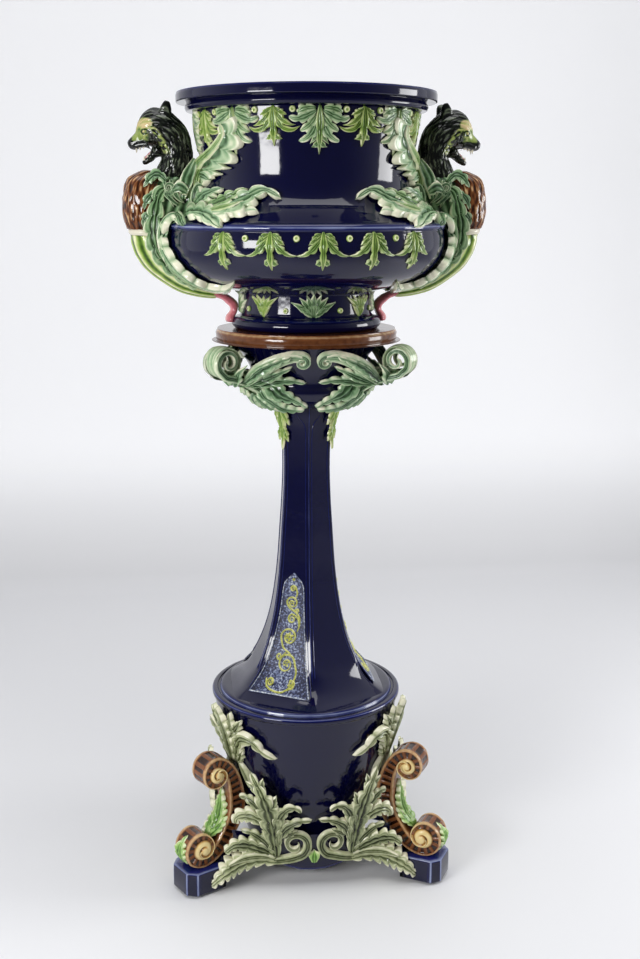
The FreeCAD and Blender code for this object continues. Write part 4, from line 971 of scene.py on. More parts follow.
def make_handle_bodies():
    """Furred chest, plain collar, ridged lower body and the paw of each handle."""
    chest, collar, body, paw = Clay(), Clay(), Clay(), Clay()

    def tufts(s, t):
        lump = np.vectorize(lambda a, c: noise.noise(Vector((a / 13.0, c * 13.0, 1.0))))
        return lump(s + 0 * t, t + 0 * s)

    sweep(chest, [(207, 1002, 265, 1008, 29), (209, 1018, 269.5, 1022, 32), (209, 1036, 271, 1040, 33),
                  (208, 1054, 269, 1058, 33), (207, 1064, 265, 1075, 31), (206, 1070, 256, 1084, 28),
                  (205, 1076, 240, 1091, 22), (208, 1080, 226, 1091, 14)], 90, 96,
          relief=lambda s, t: sizes().fur_relief / MM * tufts(s, t),
          value=lambda s, t: np.clip(0.5 + 1.25 * tufts(s, t), 0, 1))
    sweep(collar, [(204, 996.5, 261, 999.5, 30.5), (203.5, 998, 262.5, 1001.5, 31.8),
                   (203.5, 1001, 263.4, 1004.5, 32.2), (204, 1003.5, 262.8, 1007, 31.5),
                   (206, 1005, 261, 1008, 30.5)], 14, 64, tint=1.0, value=0.8)

    def ridges(s, t):
        return np.cos(9 * t + 0.012 * s)

    sweep(body, [(205, 996, 260.5, 999, 29.5), (203, 982, 257, 982, 29), (201, 974, 251, 967, 28),
                 (198, 964, 238, 949, 26.5), (190, 952, 215, 931, 24), (176, 940, 190, 916.5, 20),
                 (158, 931, 165, 909.5, 17.5), (143, 925, 145, 907, 15), (135, 920, 136, 907, 12)], 120, 72,
          relief=lambda s, t: sizes().ridge_relief / MM * ridges(s, t) * soft(0, 10, s), tint=1.0,
          value=lambda s, t: np.clip(0.5 + 0.45 * ridges(s, t), 0, 1))
    sweep(paw, [(140, 920, 141, 908, 12), (128, 915, 128, 904, 12), (114, 909, 121, 898, 11.5),
                (103.5, 899, 116, 893, 11), (103.5, 888, 115, 887, 11.5), (108, 878, 120, 880, 13),
                (109, 872.5, 121.5, 874.5, 13.5), (110, 870.5, 120, 871, 12)], 50, 40,
          relief=lambda s, t: 1.2 * np.cos(3 * t * np.sign(np.sin(t))) * soft(38, 50, s),
          value=lambda s, t: 0.6 + 0.3 * np.cos(2 * t) + 0 * s)
    for name, part, material, slot in (("chest", chest, "amber", "chest_glaze"),
                                       ("collar", collar, "pink", "beige_glaze"),
                                       ("body", body, "sea", "yellow_green_glaze"),
                                       ("paw", paw, "pink", "beige_glaze")):
        for side, m in (("right", 1), ("left", -1)):
            whole = Clay()
            whole.add(part, 0, (m, 1))
            piece("bear_%s_%s" % (name, side), whole, GLAZES[material], "jardiniere",
                  [side + "_" + name])


# ---------------------------------------------------------------- stand
def flat(azimuth, reach):
    """Map of (across, height, lift) onto an upright face, whose reach may depend on the height."""
    a = math.radians(azimuth)

    def place(u, v, h):
        out = (reach(v) if callable(reach) else reach) + h
        u, out, v = np.broadcast_arrays(u, out, v)
        return np.stack([out * math.sin(a) + u * math.cos(a), -out * math.cos(a) + u * math.sin(a), v], -1)

    place.scale = 1.0
    return place


def leg_side(side, half):
    """Map of (radius, height, lift) onto the flank of something on +X, side -1 towards the front."""
    def place(u, v, h):
        u, v, h = np.broadcast_arrays(u, v, h)
        return np.stack([u, side * (half + h), v], -1)

    place.scale = 1.0
    return place


# Half width across the flats of the six-sided column, and radius of the round skirt, at these heights.
SIDE_HEIGHTS = [292, 300, 310, 325, 340, 365, 390, 420, 460, 500, 550, 600, 650, 700, 744]
SIDE_REACH = [121, 109, 99, 87, 77.3, 67, 59.2, 52.4, 46.5, 42.5, 39.3, 36.3, 34.8, 36, 39.8]
SKIRT = [134, 122, 107, 94.5, 89.5, 84, 84, 84, 84, 84, 84, 84, 84, 84, 84]
SIX_SIDES = range(30, 390, 60)
PANEL_LOW, PANEL_HIGH = 303, 484
PANEL_MARGIN = 8.5
# Scrolls of a panel: centre, radius, turns, start in degrees, hand and the points that lead to it.
COILS = (((0, 346), 15, 1.7, 0, 1, ((-28, 325), (-24, 314), (-12, 309), (4, 309), (16, 319), (19, 334))),
         ((-1, 385), 13.5, 1.6, 180, -1, ((11, 354), (2, 362), (-9, 369))),
         ((0, 438), 9.5, 1.6, 180, -1, ((11, 394), (14, 404), (13, 416), (6, 424), (-5, 430))),
         ((1, 413), 7, 1.4, 90, 1, ((13, 402), (11, 414))),
         ((0, 460), 5, 1.5, 0, 1, ((5, 446), (7, 453))),
         ((-19, 319), 6, 1.3, 180, -1, ((-24, 312),)),
         ((15, 321), 6.5, 0.8, -60, 1, ((10, 312),)),
         ((-13, 356), 5, 1.0, -90, -1, ((-2, 364), (-8, 357))),
         ((9, 426), 3.5, 1.0, 180, -1, ((12, 418),)))
# Rosettes of a panel: centre, petals and reach.
ROSETTES = (((0, 346), 4, 5.5), ((-1, 385), 6, 8.0), ((0, 438), 4, 4.5), ((-19, 319), 3, 4.0),
            ((15, 321), 4, 6.5), ((0, 474), 5, 3.0))


def smooth_table(heights, values):
    line = curve(list(zip(heights, values)), 300)
    return lambda z: np.interp(z, line[:, 0], line[:, 1])


def make_column():
    """Six-sided column that melts into a round skirt, with fillets along its sides and three panels."""
    side = smooth_table(SIDE_HEIGHTS, SIDE_REACH)
    skirt = smooth_table(SIDE_HEIGHTS, SKIRT)
    z = np.unique(np.r_[np.linspace(292, 345, 60), np.linspace(345, 744, 150)])[:, None]
    clay = Clay()
    azimuth = np.linspace(0, 2 * np.pi, 360, endpoint=False)[None, :]
    reach = [np.exp(-side(z) / np.maximum(np.cos(azimuth - math.radians(c)), 0.2) / 0.5) for c in SIX_SIDES]
    radius = -0.5 * np.log(sum(reach))
    ease = 0.8 + 5.2 * soft(350, 300, z)
    radius = skirt(z) - ease * np.logaddexp(0, (skirt(z) - radius) / ease)
    # Painted highlight: a narrow pale line along each arris of the column, laid into the glaze value.
    edge = np.exp(-((np.degrees(azimuth) % 60 - 30) ** 2 - 900) / -14.0) * soft(310, 345, z)
    clay.patch(np.stack([radius * np.sin(azimuth), -radius * np.cos(azimuth), z + 0 * azimuth], -1),
               0.45 + 0.5 * edge, around=True)
    # The pale outer edge of the foot fillet is a painted highlight, laid into the glaze value.
    turned(clay, [(60, 285.5), (133, 285.5), (136, 286), (137.5, 288.5), (136, 291), (133, 292),
                  (120, 292.5)], 30, glaze=lambda p: 0.45 + 0.5 * soft(134, 137.3, p[:, 0]))
    for centre in SIX_SIDES:
        face = flat(centre, side)
        low = 308 if centre in (90, 210, 330) else 330
        for hand in (-1, 1):
            line = [(hand * (side(h) * TAN_30 - 5.5), h, -0.3) for h in np.linspace(low, 700, 14)]
            line += [(hand * 14.5, 714, -0.2), (hand * 11, 722, 0), (hand * 5, 727, 0), (0, 735, 0)]
            blade(clay, face, line, 0.9, 1.5, cup=-0.3, ribs=0, rows=90, cols=5, tip=1, root=1, deep=0.62,
                  pale=0.85)
    piece("column_shaft", clay, GLAZES["cobalt"], "stand", ["column"])
    for number, azimuth in enumerate((-30, 90, 210)):
        piece("stippled_panel_%d" % (number + 1), panel_clay(flat(azimuth, side), side), GLAZES["stipple"],
              "stand", ["column_panel_%d" % (number + 1)])


def panel_clay(face, side):
    """Sunk stippled panel with its scrolls, rosettes and frame."""
    def half_width(v):
        return (side(v) * TAN_30 - PANEL_MARGIN) * np.sqrt(1 - soft(462, 485, v))

    clay = Clay()
    v = np.linspace(PANEL_LOW, PANEL_HIGH, 90)[:, None]
    t = np.linspace(-1, 1, 25)[None, :]
    drop = np.where((np.abs(t) > 0.99) | (v < PANEL_LOW + 0.5), -1.6, 0.15)
    clay.patch(face(t * half_width(v), v, drop + 0 * t), 0.25 + 0.2 * np.cos(t * 2))
    for centre, radius, turns, start, hand, tail in COILS:
        scroll(clay, face, centre, radius, turns, start, 1.25, 2.6, hand, 0.2, 0.5, 1.0,
               tail=[(x, y, 0.5) for x, y in tail])
    for (x, y), petals, reach in ROSETTES:
        for k in range(petals):
            a = 2 * math.pi * (k + 0.3) / petals
            petal = [(x + share * reach * math.cos(a + bend), y + share * reach * math.sin(a + bend), lift)
                     for share, bend, lift in ((0.1, 0, 0.6), (0.6, 0.2, 1.0), (1, 0, 0.5))]
            blade(clay, face, petal, 0.24 * reach, 2.4, rows=9, cols=7, tint=1)
    for hand in (-1, 1):
        rim = [(hand * (half_width(h) - 1.2), h, 0.3) for h in np.linspace(305, 480, 16)]
        blade(clay, face, rim, 0.8, 1.6, ribs=0, rows=80, cols=5, tip=1, root=1, deep=0.6, pale=0.8)
    blade(clay, face, [(-50, 305, 0.3), (0, 305, 0.3), (50, 305, 0.3)], 0.8, 1.6, ribs=0, rows=12, cols=5,
          tip=1, root=1, deep=0.6, pale=0.8)
    return clay


DRUM_WALL = [(96, 40), (104, 66), (112, 96), (120, 124), (127, 155), (133, 190), (138.5, 222), (143, 250),
             (146.5, 270), (147.5, 277), (147.5, 277), (150.3, 279), (150.6, 283), (149.6, 286)]


def make_drum():
    """Bell-shaped drum with a lip at its shoulder."""
    clay = Clay()
    # The pale line round the lip of the shoulder is a painted highlight, laid into the glaze value.
    turned(clay, DRUM_WALL + [(148, 287), (141, 287.2), (139.5, 286), (84, 286), (84, 286), (84, 274)], 150,
           glaze=lambda p: 0.42 + 0.5 * np.exp(-((p[:, 1] - 285.5) / 1.6) ** 2) * (p[:, 0] > 147))
    turned(clay, [(84, 274), (136, 272), (120, 190), (84, 42), (96, 40)], 40)
    piece("drum_shell", clay, GLAZES["cobalt"], "stand", ["base_drum"])


# Outline of a foot block on +X, how far its corners are rounded, its top, and how far its inner end slopes.
BLOCK_PLAN = [(242, 20), (229, 33), (168, 33), (168, -33), (229, -33), (242, -20)]
BLOCK_CENTRE = 205
BLOCK_ROUND = 2.2
BLOCK_TOP = 37
BLOCK_SLOPE = 20


def make_foot_blocks():
    """Foot blocks with cut corners and worn edges."""
    corners, wear = [], []
    for k, here in enumerate(BLOCK_PLAN):
        before, after = np.array(BLOCK_PLAN[k - 1]), np.array(BLOCK_PLAN[(k + 1) % len(BLOCK_PLAN)])
        here = np.array(here, float)
        ends = [here + BLOCK_ROUND * (near - here) / np.linalg.norm(near - here)
                for near in (before, after)]
        for f in np.linspace(0, 1, 6):
            corners.append((1 - f) ** 2 * ends[0] + 2 * f * (1 - f) * here + f**2 * ends[1])
            wear.append(0.95 if 0 < f < 1 else 0.6)
        start, stop = ends[1], after + BLOCK_ROUND * (here - after) / np.linalg.norm(here - after)
        for f in np.linspace(0, 1, 8)[1:-1]:
            corners.append(start + f * (stop - start))
            wear.append(0.42)
    outline = np.array(corners) - (BLOCK_CENTRE, 0)
    levels = [(0.0, 0.3), (0.985, 0.3), (1.0, 1.6), (1.0, 18), (0.995, 34.5), (0.985, 36.2),
              (0.96, BLOCK_TOP), (0.0, BLOCK_TOP)]
    points = np.array([[(BLOCK_CENTRE + g * (x + BLOCK_SLOPE * (x < -30) * (1 - z / BLOCK_TOP)), g * y, z)
                        for x, y in outline] for g, z in levels])
    edge, flat_top = [0.92] * len(wear), [0.45] * len(wear)
    values = np.array([flat_top] + 4 * [wear] + 2 * [edge] + [flat_top])
    clay = Clay()
    clay.patch(points, values, around=True)
    threefold("foot_blocks", clay, -30, "cobalt", "foot_block_%d")


# Middle line of a leg's band on +X as (radius, height) points, its depth at each, and its section:
# share of half the depth, share of half the width, and glaze value.
LEG_SPINE = [(184, 180), (184, 187), (176, 190), (170, 183), (172, 173), (182, 167.5), (193, 171),
             (198.5, 183), (194, 197), (181, 202.5), (166, 195), (154, 176), (147, 150), (145, 124),
             (150, 104), (160, 85), (174, 66), (190, 52), (209, 45.8), (225, 51), (231.3, 64.5),
             (227.5, 79), (215, 87.4), (202, 83.5), (195, 71.5), (199, 60), (209, 57), (216, 63.5),
             (211, 69)]
LEG_DEPTH = [4, 5, 7, 8.5, 10, 11.5, 13, 14, 15.5, 17, 19, 23, 28, 30, 29, 27, 25, 22, 19, 17, 15.5, 14.5,
             13, 11.5, 10, 8, 7, 5, 4]
LEG_SECTION = [(-1, -0.86, .7), (-1, 0.0, .35), (-1, 0.86, .7), (-0.88, 1, .9), (-0.62, 1, .75),
               (-0.5, 0.9, .1), (0.5, 0.9, .1), (0.62, 1, .75), (0.88, 1, .9), (1, 0.86, .9), (1, 0.66, .7),
               (0.9, 0.56, .1), (0.9, -0.56, .1), (1, -0.66, .7), (1, -0.86, .9), (0.88, -1, .9),
               (0.62, -1, .75), (0.5, -0.9, .1), (-0.5, -0.9, .1), (-0.62, -1, .75), (-0.88, -1, .9)]
# Cream bosses in the volutes: centre, radius and hand.
LEG_SWIRLS = ((183, 184, 13.0, 1), (209.5, 68, 17.5, -1))
# Sections of a rung on the flank and on the front: along the band, and share of the full height.
RUNG_START = 34
RUNG_FLANK = ((-3.0, .88), (-2.1, .98), (2.1, .98), (3.0, .88))
RUNG_FRONT = ((-3.4, .88), (-2.6, .98), (2.6, .98), (3.4, .88))


def make_legs():
    """C-scroll legs: a band with sunk flutes that winds into a volute at each end."""
    rows = 260
    line = curve([(x, z, d) for (x, z), d in zip(LEG_SPINE, LEG_DEPTH)], rows)
    step = np.gradient(line[:, :2], axis=0)
    step /= np.linalg.norm(step, axis=1, keepdims=True)
    depth = line[:, 2]
    inner = soft(15, 5, depth)
    half = 19 + 5.5 * inner
    section = []
    for k, here in enumerate(LEG_SECTION):
        after = LEG_SECTION[(k + 1) % len(LEG_SECTION)]
        section += [[p + f * (q - p) for p, q in zip(here, after)] for f in (0, 0.25, 0.5, 0.75)]
    section = np.array(section)
    away = section[None, :, 0] * depth[:, None] / 2
    flank = section[None, :, 1] * half[:, None]
    points = np.stack([line[:, :1] + away * step[:, 1:], flank, line[:, 1:2] - away * step[:, :1]], -1)
    clay = Clay()
    tint = np.clip(inner[:, None] * 1.4, 0, 1) + 0 * away
    clay.patch(points, section[None, :, 2] + 0.25 * tint, tint, around=True)
    a = np.linspace(0, 2 * np.pi, 48, endpoint=False)[None, :]
    r = np.linspace(0, 1, 22)[:, None]
    for x0, z0, size, hand in LEG_SWIRLS:
        for side in (-1, 1):
            wind = np.cos(hand * a - 2 * np.pi * 1.5 * r + 1.0)
            crest = 1 - (0.5 - 0.5 * wind) ** 3 * soft(0.18, 0.4, r)
            y = side * (18.2 + 8.5 * np.sqrt(1 - 0.97 * r**3) * (0.5 + 0.5 * crest) * (1 - 0.35 * r))
            clay.patch(np.stack([x0 + size * r * np.cos(a), y, z0 + size * r * np.sin(a)], -1),
                       0.95 * crest - 0.25 * soft(0.85, 1, r), 1.0 - 0.6 * soft(0.85, 1, r) + 0 * a,
                       around=True)
    travel = np.r_[0, np.cumsum(np.linalg.norm(np.diff(line[:, :2], axis=0), axis=1))]
    for at in np.arange(RUNG_START, travel[-1] - RUNG_START, sizes().rung_pitch / MM):
        k = int(np.interp(at, travel, np.arange(rows)))
        p, t, d = line[k, :2], step[k], depth[k]
        n = np.array([t[1], -t[0]])
        for side in (-1, 1):
            bar = [[p + n * d * s * 0.3 + t * w, side * half[k] * g] for s in (-1, 1)
                   for w, g in RUNG_FLANK]
            clay.patch(np.array([[q[0], y, q[1]] for q, y in bar]).reshape(2, 4, 3), 0.62)
        bar = np.array([[[*(p + n * d * (0.5 * g) + t * w), y * half[k]] for w, g in RUNG_FRONT]
                        for y in (-0.62, 0.62)])
        clay.patch(bar[:, :, [0, 2, 1]], 0.62)
    threefold("leg_scrolls", clay, -30, "amber", "leg_scroll_%d")


# Lower edge of an apron: distance from its middle, and height there.
ARCH_ACROSS = [0, 20, 42, 60, 80, 100, 122, 140]
ARCH_HEIGHTS = [20, 21, 27, 34, 33, 26, 12, 8]
APRON_TOP = 84


def apron_face(back):
    """Map of (across, height, lift) onto the bowed front of an apron, set back by so many millimetres."""
    def place(u, v, h):
        u, v, h = np.broadcast_arrays(u, v, h)
        out = 131 - 38 * (u / 145.5) ** 2 + h - back
        out = out + 18 * soft(70, 190, v) * (1 - soft(60, 130, np.abs(u)))
        return np.stack([u, -out, v], -1)

    place.scale = 1.0
    return place


def make_aprons():
    """Arched aprons between the legs with their scrolls, flames and long leaves."""
    face = apron_face(9)
    plate = Clay()
    u = np.linspace(-140, 140, 90)[None, :]
    low = np.interp(np.abs(u), ARCH_ACROSS, ARCH_HEIGHTS)
    v = np.linspace(0, 1, 16)[:, None]
    height = low + v * (APRON_TOP - low)
    lift = np.where(v < 0.02, -6.0, 0.0) + 0 * u
    plate.patch(face(u + 0 * v, height, lift), 0.42 + 0.5 * soft(0.1, 0.05, v) + 0 * u)
    leaves = Clay()
    face = apron_face(7)
    for m in (-1, 1):
        def leaf(points, width, thick=6.0, **more):
            blade(leaves, face, [(m * x, z, h) for x, z, h in points], width, thick, **more)
        scroll(leaves, face, (m * 30, 72), 23, 1.3, -86, 7.0, 9, -m, 0.2, 2.5,
               tail=[(m * 82, 50, 2), (m * 66, 43, 3), (m * 50, 44, 3)])
        leaf([(58, 66, 5), (54, 88, 8), (42, 106, 9), (24, 116, 10), (5, 118, 10)], 9.5, 8, lobes=5,
             rows=50, cols=17, tip=0.3)
        leaf([(60, 70, 5), (60, 100, 8), (54, 126, 10), (42, 141, 11), (28, 141, 12), (22, 132, 11)], 10.5,
             8, lobes=6, rows=50, cols=17, tip=0.3)
        leaf([(50, 84, 6), (38, 92, 8), (26, 98, 8)], 6, 6, lobes=3)
        leaf([(60, 48, 4), (63, 76, 7), (68, 108, 9), (76, 140, 10), (86, 168, 10), (99, 195, 8)], 19, 9,
             lobes=7, rows=80, cols=21, sweep=0.75, tip=0.25)
        leaf([(68, 98, 6), (88, 116, 9), (106, 120, 11), (120, 113, 11), (122, 101, 9)], 14, 9, lobes=5,
             rows=50, cols=17, tip=0.4, wash=0.16)
        leaf([(74, 126, 7), (92, 142, 9), (106, 150, 8), (116, 148, 7)], 10, 7, lobes=4, rows=40, tip=0.3)
        leaf([(78, 150, 8), (92, 168, 9), (106, 176, 7)], 8, 6, lobes=3)
        leaf([(72, 130, 8), (66, 148, 9), (60, 162, 9)], 7.5, 7, lobes=3)
        leaf([(80, 158, 8), (82, 176, 8), (80, 188, 7)], 6, 6, lobes=2)
        leaf([(60, 52, 4), (80, 62, 8), (104, 70, 14), (124, 70, 22), (140, 60, 32)], 14, 9, lobes=6,
             rows=56, cols=19, tip=0.4)
        leaf([(64, 60, 5), (82, 80, 8), (98, 90, 9), (114, 92, 10)], 9, 7, lobes=4, rows=40, tip=0.3)
        leaf([(58, 43, 4), (86, 46, 8), (112, 42, 18), (134, 33, 36), (150, 22, 47), (164, 7, 51)], 19, 10,
             lobes=8, rows=90, cols=25, tip=0.35, wash=0.2)
        leaf([(60, 47, 6), (84, 52, 11), (110, 50, 21), (134, 43, 38)], 6, 7, lobes=0, rows=40, tip=0.3,
             wash=0.1)
    blade(leaves, face, [(0, 37, 1), (0, 47, 3), (0, 60, 1)], 9.5, 4.5, tint=1.0, tip=0.1)
    threefold("aprons", plate, 0, "cobalt", "apron_%d")
    threefold("apron_sprays", leaves, 0, "moss", "apron_leaves_%d")


# Front of a leg as (heights, radii): in the hollow of its curve, and over its lower volute.
HOLLOW = ([70, 82, 94, 108, 124, 150, 170], [191, 182, 171, 163.5, 160, 161, 165])
VOLUTE_FRONT = ([38, 45, 55, 66, 76, 86, 94], [219, 229, 236, 238.5, 237, 231, 219])


def make_leg_leaves():
    """Crest leaf that climbs the drum above each leg, and the shin leaf in the leg's hollow."""
    crest, shin = Clay(), Clay()
    drum = wall(DRUM_WALL[:9] + [(147, 274), (150, 300)])
    for m in (-1, 1):
        blade(crest, drum, [(0, 190, 5), (m * 2, 224, 7), (m * 5, 256, 9), (m * 8, 286, 15)], 14, 9,
              lobes=6, rows=60, cols=19)
        blade(crest, drum, [(m * 3, 196, 4), (m * 8, 226, 8), (m * 14, 245, 11), (m * 22, 244, 11),
                            (m * 27, 230, 9), (m * 36, 219, 8)], 12, 9, lobes=6, rows=70, cols=19, tip=0.25,
              sweep=0.3, wash=0.1)
        blade(crest, drum, [(m * 4, 190, 4), (m * 8, 206, 6), (m * 12, 220, 8)], 7, 7, lobes=3)
        blade(crest, drum, [(m * 4, 238, 8), (m * 11, 262, 10), (m * 15, 276, 11)], 9, 8, lobes=4, rows=40)
        blade(crest, drum, [(m * 12, 150, 2), (m * 10, 176, 4), (m * 4, 200, 6)], 6, 7, lobes=0, rows=30)
    blade(crest, drum, [(0, 192, 6), (0, 230, 10), (0, 264, 15), (0, 291, 22)], 14, 10, lobes=7, rows=60,
          cols=19)
    front = flat(90, lambda v: np.interp(v, *HOLLOW))
    blade(shin, front, [(0, 76, 3), (0, 104, 4), (0, 130, 4), (0, 152, 1)], 15, 7, lobes=6, rows=50,
          cols=17, tint=0.9)
    for m in (-1, 1):
        blade(shin, front, [(m * 2, 76, 3), (m * 11, 92, 4), (m * 16, 110, 2)], 9, 6, lobes=4, rows=36,
              tint=1.0)
    low = flat(90, lambda v: np.interp(v, *VOLUTE_FRONT))
    blade(shin, low, [(0, 39, 1), (0, 54, 2), (0, 72, 2), (0, 90, 0)], 15, 5, lobes=5, rows=44, cols=17,
          tint=1.0)
    threefold("crest_leaves", crest, 60, "moss", "leg_crest_%d")
    threefold("shin_leaves", shin, -30, "moss", "shin_leaf_%d")


CAPITAL_WALL = [(50, 744), (56, 745), (66, 749), (77, 757), (83.5, 768), (84, 774), (81, 780), (81, 786),
                (85, 800), (93, 815), (103, 830), (112, 843)]


VOLUTE_CENTRE = (151, 819)


def make_capital():
    """Bulb and bell of the capital with corner volutes, side sprays and hanging pendants."""
    core = Clay()
    turned(core, [(30, 743.6)] + CAPITAL_WALL + [(112, 843.4), (20, 843.4)], 90, glaze=0.4)
    piece("capital_bell", core, GLAZES["cobalt"], "stand", ["capital"])
    bell = wall([(44, 735)] + CAPITAL_WALL + [(113, 850)])
    spray, volute, pendant = Clay(), Clay(), Clay()
    for m in (-1, 1):
        def leaf(points, width, thick=6.0, **more):
            blade(spray, bell, [(m * a, z, h) for a, z, h in points], width, thick, **more)
        leaf([(56, 798, 46), (44, 818, 30), (30, 829, 16), (16, 833, 8), (8, 828, 5)], 10, 8, lobes=0,
             rows=50, tip=0.6)
        scroll(spray, bell, (m * 9.5, 824), 9.5, 1.2, 90, 4.5, 7, m, 0.25, 5,
               tail=[(m * 26, 834, 10), (m * 17, 836, 7)])
        leaf([(50, 812, 44), (40, 826, 30), (28, 834, 20), (16, 838, 12)], 11, 8, lobes=6, rows=50, side=m,
             tip=0.4)
        leaf([(52, 800, 44), (40, 806, 28), (28, 812, 16), (18, 816, 8)], 9, 7, lobes=5, rows=44, tip=0.2)
        leaf([(54, 790, 36), (40, 793, 20), (24, 794, 10), (6, 788, 4)], 9, 7, lobes=5, rows=50, tip=0.25)
        leaf([(50, 784, 26), (38, 776, 14), (28, 770, 7), (18, 764, 4), (4, 752, 3)], 8.5, 7, lobes=6,
             rows=50, tip=0.2)
        leaf([(52, 776, 16), (42, 764, 9), (30, 752, 6), (8, 748, 4)], 7.5, 6, lobes=5, rows=44, tip=0.25)
        leaf([(58, 770, 12), (50, 756, 8), (44, 746, 6)], 7, 6, lobes=4)
        leaf([(57, 806, 52), (50, 830, 46), (44, 838, 38)], 6, 6, lobes=2)
    for side in (-1, 1):
        flank = leg_side(side, 10.0)
        scroll(volute, flank, VOLUTE_CENTRE, 20, 1.45, -70, 5.0, 8, 1, 0.15, 5,
               tail=[(70, 752, 0), (88, 768, 4), (110, 782, 6), (134, 792, 6), (154, 797, 6)])
        blade(volute, flank, [(74, 770, 0), (96, 790, 3), (120, 802, 3), (136, 812, 2)], 9, 6, lobes=0,
              rows=40)
        blade(volute, flank, [(66, 750, 0), (80, 762, 3), (96, 776, 4), (116, 786, 3)], 8, 6, lobes=3,
              rows=40)
    a = np.linspace(0, 2 * np.pi, 40, endpoint=False)[:, None]
    y = np.linspace(-1, 1, 13)[None, :]
    r = 23.5 * (0.9 + 0.1 * np.cos(4 * np.pi * y)) * np.sqrt(1 - 0.16 * y**2)
    x0, z0 = VOLUTE_CENTRE
    volute.patch(np.stack([x0 + r * np.cos(a), 16.5 * y + 0 * a, z0 + r * np.sin(a)], -1),
                 0.35 + 0.5 * np.cos(4 * np.pi * y) ** 2 + 0 * a, along=True)
    tongue = curve([(62, 756), (82, 768), (108, 783), (134, 794), (151, 798)], 30)
    t = np.linspace(-1, 1, 13)[None, :]
    lift = 3.5 * np.cos(3 * np.pi * t) * (1 - t**8) - 9 * t**8
    across = 0 * tongue[:, :1]
    volute.patch(np.stack([tongue[:, :1] + 0 * t, 15.5 * t + across, tongue[:, 1:] - 2 - lift], -1),
                 0.45 + 0.4 * np.cos(3 * np.pi * t) + across)
    neck = wall([(47, 660), (41.5, 690), (42.5, 715), (47, 738), (50, 750)])
    for spine, width, lobes in (([(-2, 748, 2), (-11, 734, 3), (-19, 716, 2)], 5, 3),
                                ([(0, 750, 2), (0, 728, 3), (0, 702, 2), (0, 676, 1.5)], 7.5, 4),
                                ([(2, 748, 2), (11, 734, 3), (19, 716, 2)], 5, 3)):
        blade(pendant, neck, spine, width, 4.5, lobes=lobes, rows=36, tint=0.95)
    for m in (-1, 1):
        blade(pendant, neck, [(m * 1, 716, 2), (m * 9, 704, 3), (m * 15, 690, 2)], 4.5, 4, lobes=3,
              tint=0.95)
    threefold("capital_sprays", spray, 0, "sea", "capital_spray_%d")
    threefold("capital_volutes", volute, -30, "sea", "capital_volute_%d")
    threefold("column_pendants", pendant, 60, "sea", "column_pendant_%d")


# ---------------------------------------------------------------- add-on
class JARDINIERE_OT_glazes(bpy.types.Operator):
    """Mix the glazes that the pieces are dipped in"""
    bl_idname = "jardiniere.glazes"
    bl_label = "Glazes"

    def execute(self, context):
        make_materials()
        return {"FINISHED"}


class JARDINIERE_OT_bowl(bpy.types.Operator):
    """Turn the hollow bowl, its rim and its foot ring"""
    bl_idname = "jardiniere.bowl"
    bl_label = "Bowl"

    def execute(self, context):
        make_bowl()
        return {"FINISHED"}


class JARDINIERE_OT_bands(bpy.types.Operator):
    """Set the leaves and studs round the neck, the belly and the foot ring"""
    bl_idname = "jardiniere.bands"
    bl_label = "Leaf bands"

    def execute(self, context):
        make_bands()
        return {"FINISHED"}


class JARDINIERE_OT_handle_leaves(bpy.types.Operator):
    """Lay the acanthus arms of the two handles over the pot"""
    bl_idname = "jardiniere.handle_leaves"
    bl_label = "Handle leaves"

    def execute(self, context):
        make_handle_leaves()
        return {"FINISHED"}


class JARDINIERE_OT_bear_heads(bpy.types.Operator):
    """Sculpt the two heads and comb their fur"""
    bl_idname = "jardiniere.bear_heads"
    bl_label = "Bear heads"

    def execute(self, context):
        make_heads()
        return {"FINISHED"}


class JARDINIERE_OT_handle_bodies(bpy.types.Operator):
    """Model the chests, collars, lower bodies and paws of the handles"""
    bl_idname = "jardiniere.handle_bodies"
    bl_label = "Handle bodies"

    def execute(self, context):
        make_handle_bodies()
        return {"FINISHED"}


class JARDINIERE_OT_dish(bpy.types.Operator):
    """Turn the dish that the pot stands on"""
    bl_idname = "jardiniere.dish"
    bl_label = "Dish"

    def execute(self, context):
        make_dish()
        return {"FINISHED"}


class JARDINIERE_OT_capital(bpy.types.Operator):
    """Model the bell of the capital with its volutes, sprays and pendants"""
    bl_idname = "jardiniere.capital"
    bl_label = "Capital"

    def execute(self, context):
        make_capital()
        return {"FINISHED"}


class JARDINIERE_OT_column(bpy.types.Operator):
    """Draw up the six-sided column with its three panels"""
    bl_idname = "jardiniere.column"
    bl_label = "Column"

    def execute(self, context):
        make_column()
        return {"FINISHED"}


class JARDINIERE_OT_drum(bpy.types.Operator):
    """Turn the drum of the base"""
    bl_idname = "jardiniere.drum"
    bl_label = "Base drum"

    def execute(self, context):
        make_drum()
        return {"FINISHED"}


class JARDINIERE_OT_foot_blocks(bpy.types.Operator):
    """Cut the three foot blocks"""
    bl_idname = "jardiniere.foot_blocks"
    bl_label = "Foot blocks"

    def execute(self, context):
        make_foot_blocks()
        return {"FINISHED"}


class JARDINIERE_OT_leg_scrolls(bpy.types.Operator):
    """Wind the three scrolled legs"""
    bl_idname = "jardiniere.leg_scrolls"
    bl_label = "Leg scrolls"

    def execute(self, context):
        make_legs()
        return {"FINISHED"}


class JARDINIERE_OT_aprons(bpy.types.Operator):
    """Cut the three arched aprons and lay their sprays"""
    bl_idname = "jardiniere.aprons"
    bl_label = "Aprons"

    def execute(self, context):
        make_aprons()
        return {"FINISHED"}


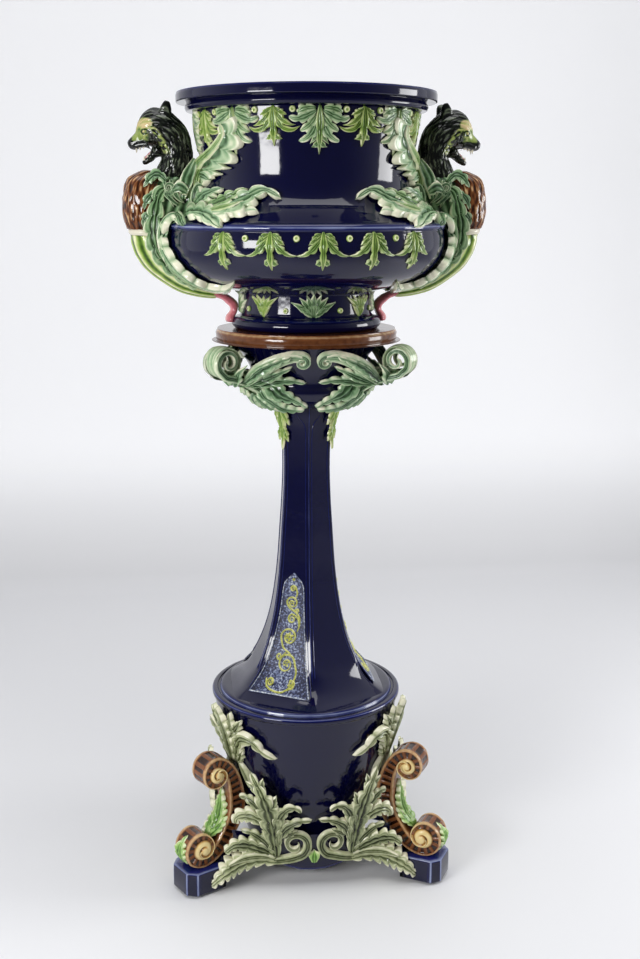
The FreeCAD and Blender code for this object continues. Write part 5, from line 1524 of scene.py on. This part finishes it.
class JARDINIERE_OT_leg_leaves(bpy.types.Operator):
    """Lay the leaves above and in front of the legs"""
    bl_idname = "jardiniere.leg_leaves"
    bl_label = "Leg leaves"

    def execute(self, context):
        make_leg_leaves()
        return {"FINISHED"}


class JARDINIERE_OT_stage(bpy.types.Operator):
    """Set up the paper, the lamps and the camera"""
    bl_idname = "jardiniere.stage"
    bl_label = "Studio"

    def execute(self, context):
        make_stage()
        return {"FINISHED"}


OPERATORS = (
    JARDINIERE_OT_glazes, JARDINIERE_OT_bowl, JARDINIERE_OT_bands,
    JARDINIERE_OT_handle_leaves, JARDINIERE_OT_bear_heads, JARDINIERE_OT_handle_bodies,
    JARDINIERE_OT_dish, JARDINIERE_OT_capital, JARDINIERE_OT_column,
    JARDINIERE_OT_drum, JARDINIERE_OT_foot_blocks, JARDINIERE_OT_leg_scrolls,
    JARDINIERE_OT_aprons, JARDINIERE_OT_leg_leaves, JARDINIERE_OT_stage,
)


class JARDINIERE_PT_panel(bpy.types.Panel):
    """Lists the sizes, the colours and the steps."""
    bl_label = "Jardiniere"
    bl_idname = "JARDINIERE_PT_panel"
    bl_space_type = "VIEW_3D"
    bl_region_type = "UI"
    bl_category = "Jardiniere"

    def draw(self, context):
        for group in (sizes(), colours()):
            for key in type(group).__annotations__:
                self.layout.prop(group, key)
        for operator in OPERATORS:
            self.layout.operator(operator.bl_idname)


CLASSES = (JardiniereSizes, JardiniereColours) + OPERATORS + (JARDINIERE_PT_panel,)


def register():
    for item in CLASSES:
        bpy.utils.register_class(item)
    bpy.types.Scene.jardiniere_sizes = bpy.props.PointerProperty(type=JardiniereSizes)
    bpy.types.Scene.jardiniere_colours = bpy.props.PointerProperty(type=JardiniereColours)


def unregister():
    del bpy.types.Scene.jardiniere_colours
    del bpy.types.Scene.jardiniere_sizes
    for item in reversed(CLASSES):
        bpy.utils.unregister_class(item)


def main():
    """Build every piece and the studio."""
    register()
    for operator in OPERATORS:
        getattr(bpy.ops.jardiniere, operator.bl_idname.split(".")[1])()


if __name__ == "__main__":
    main()
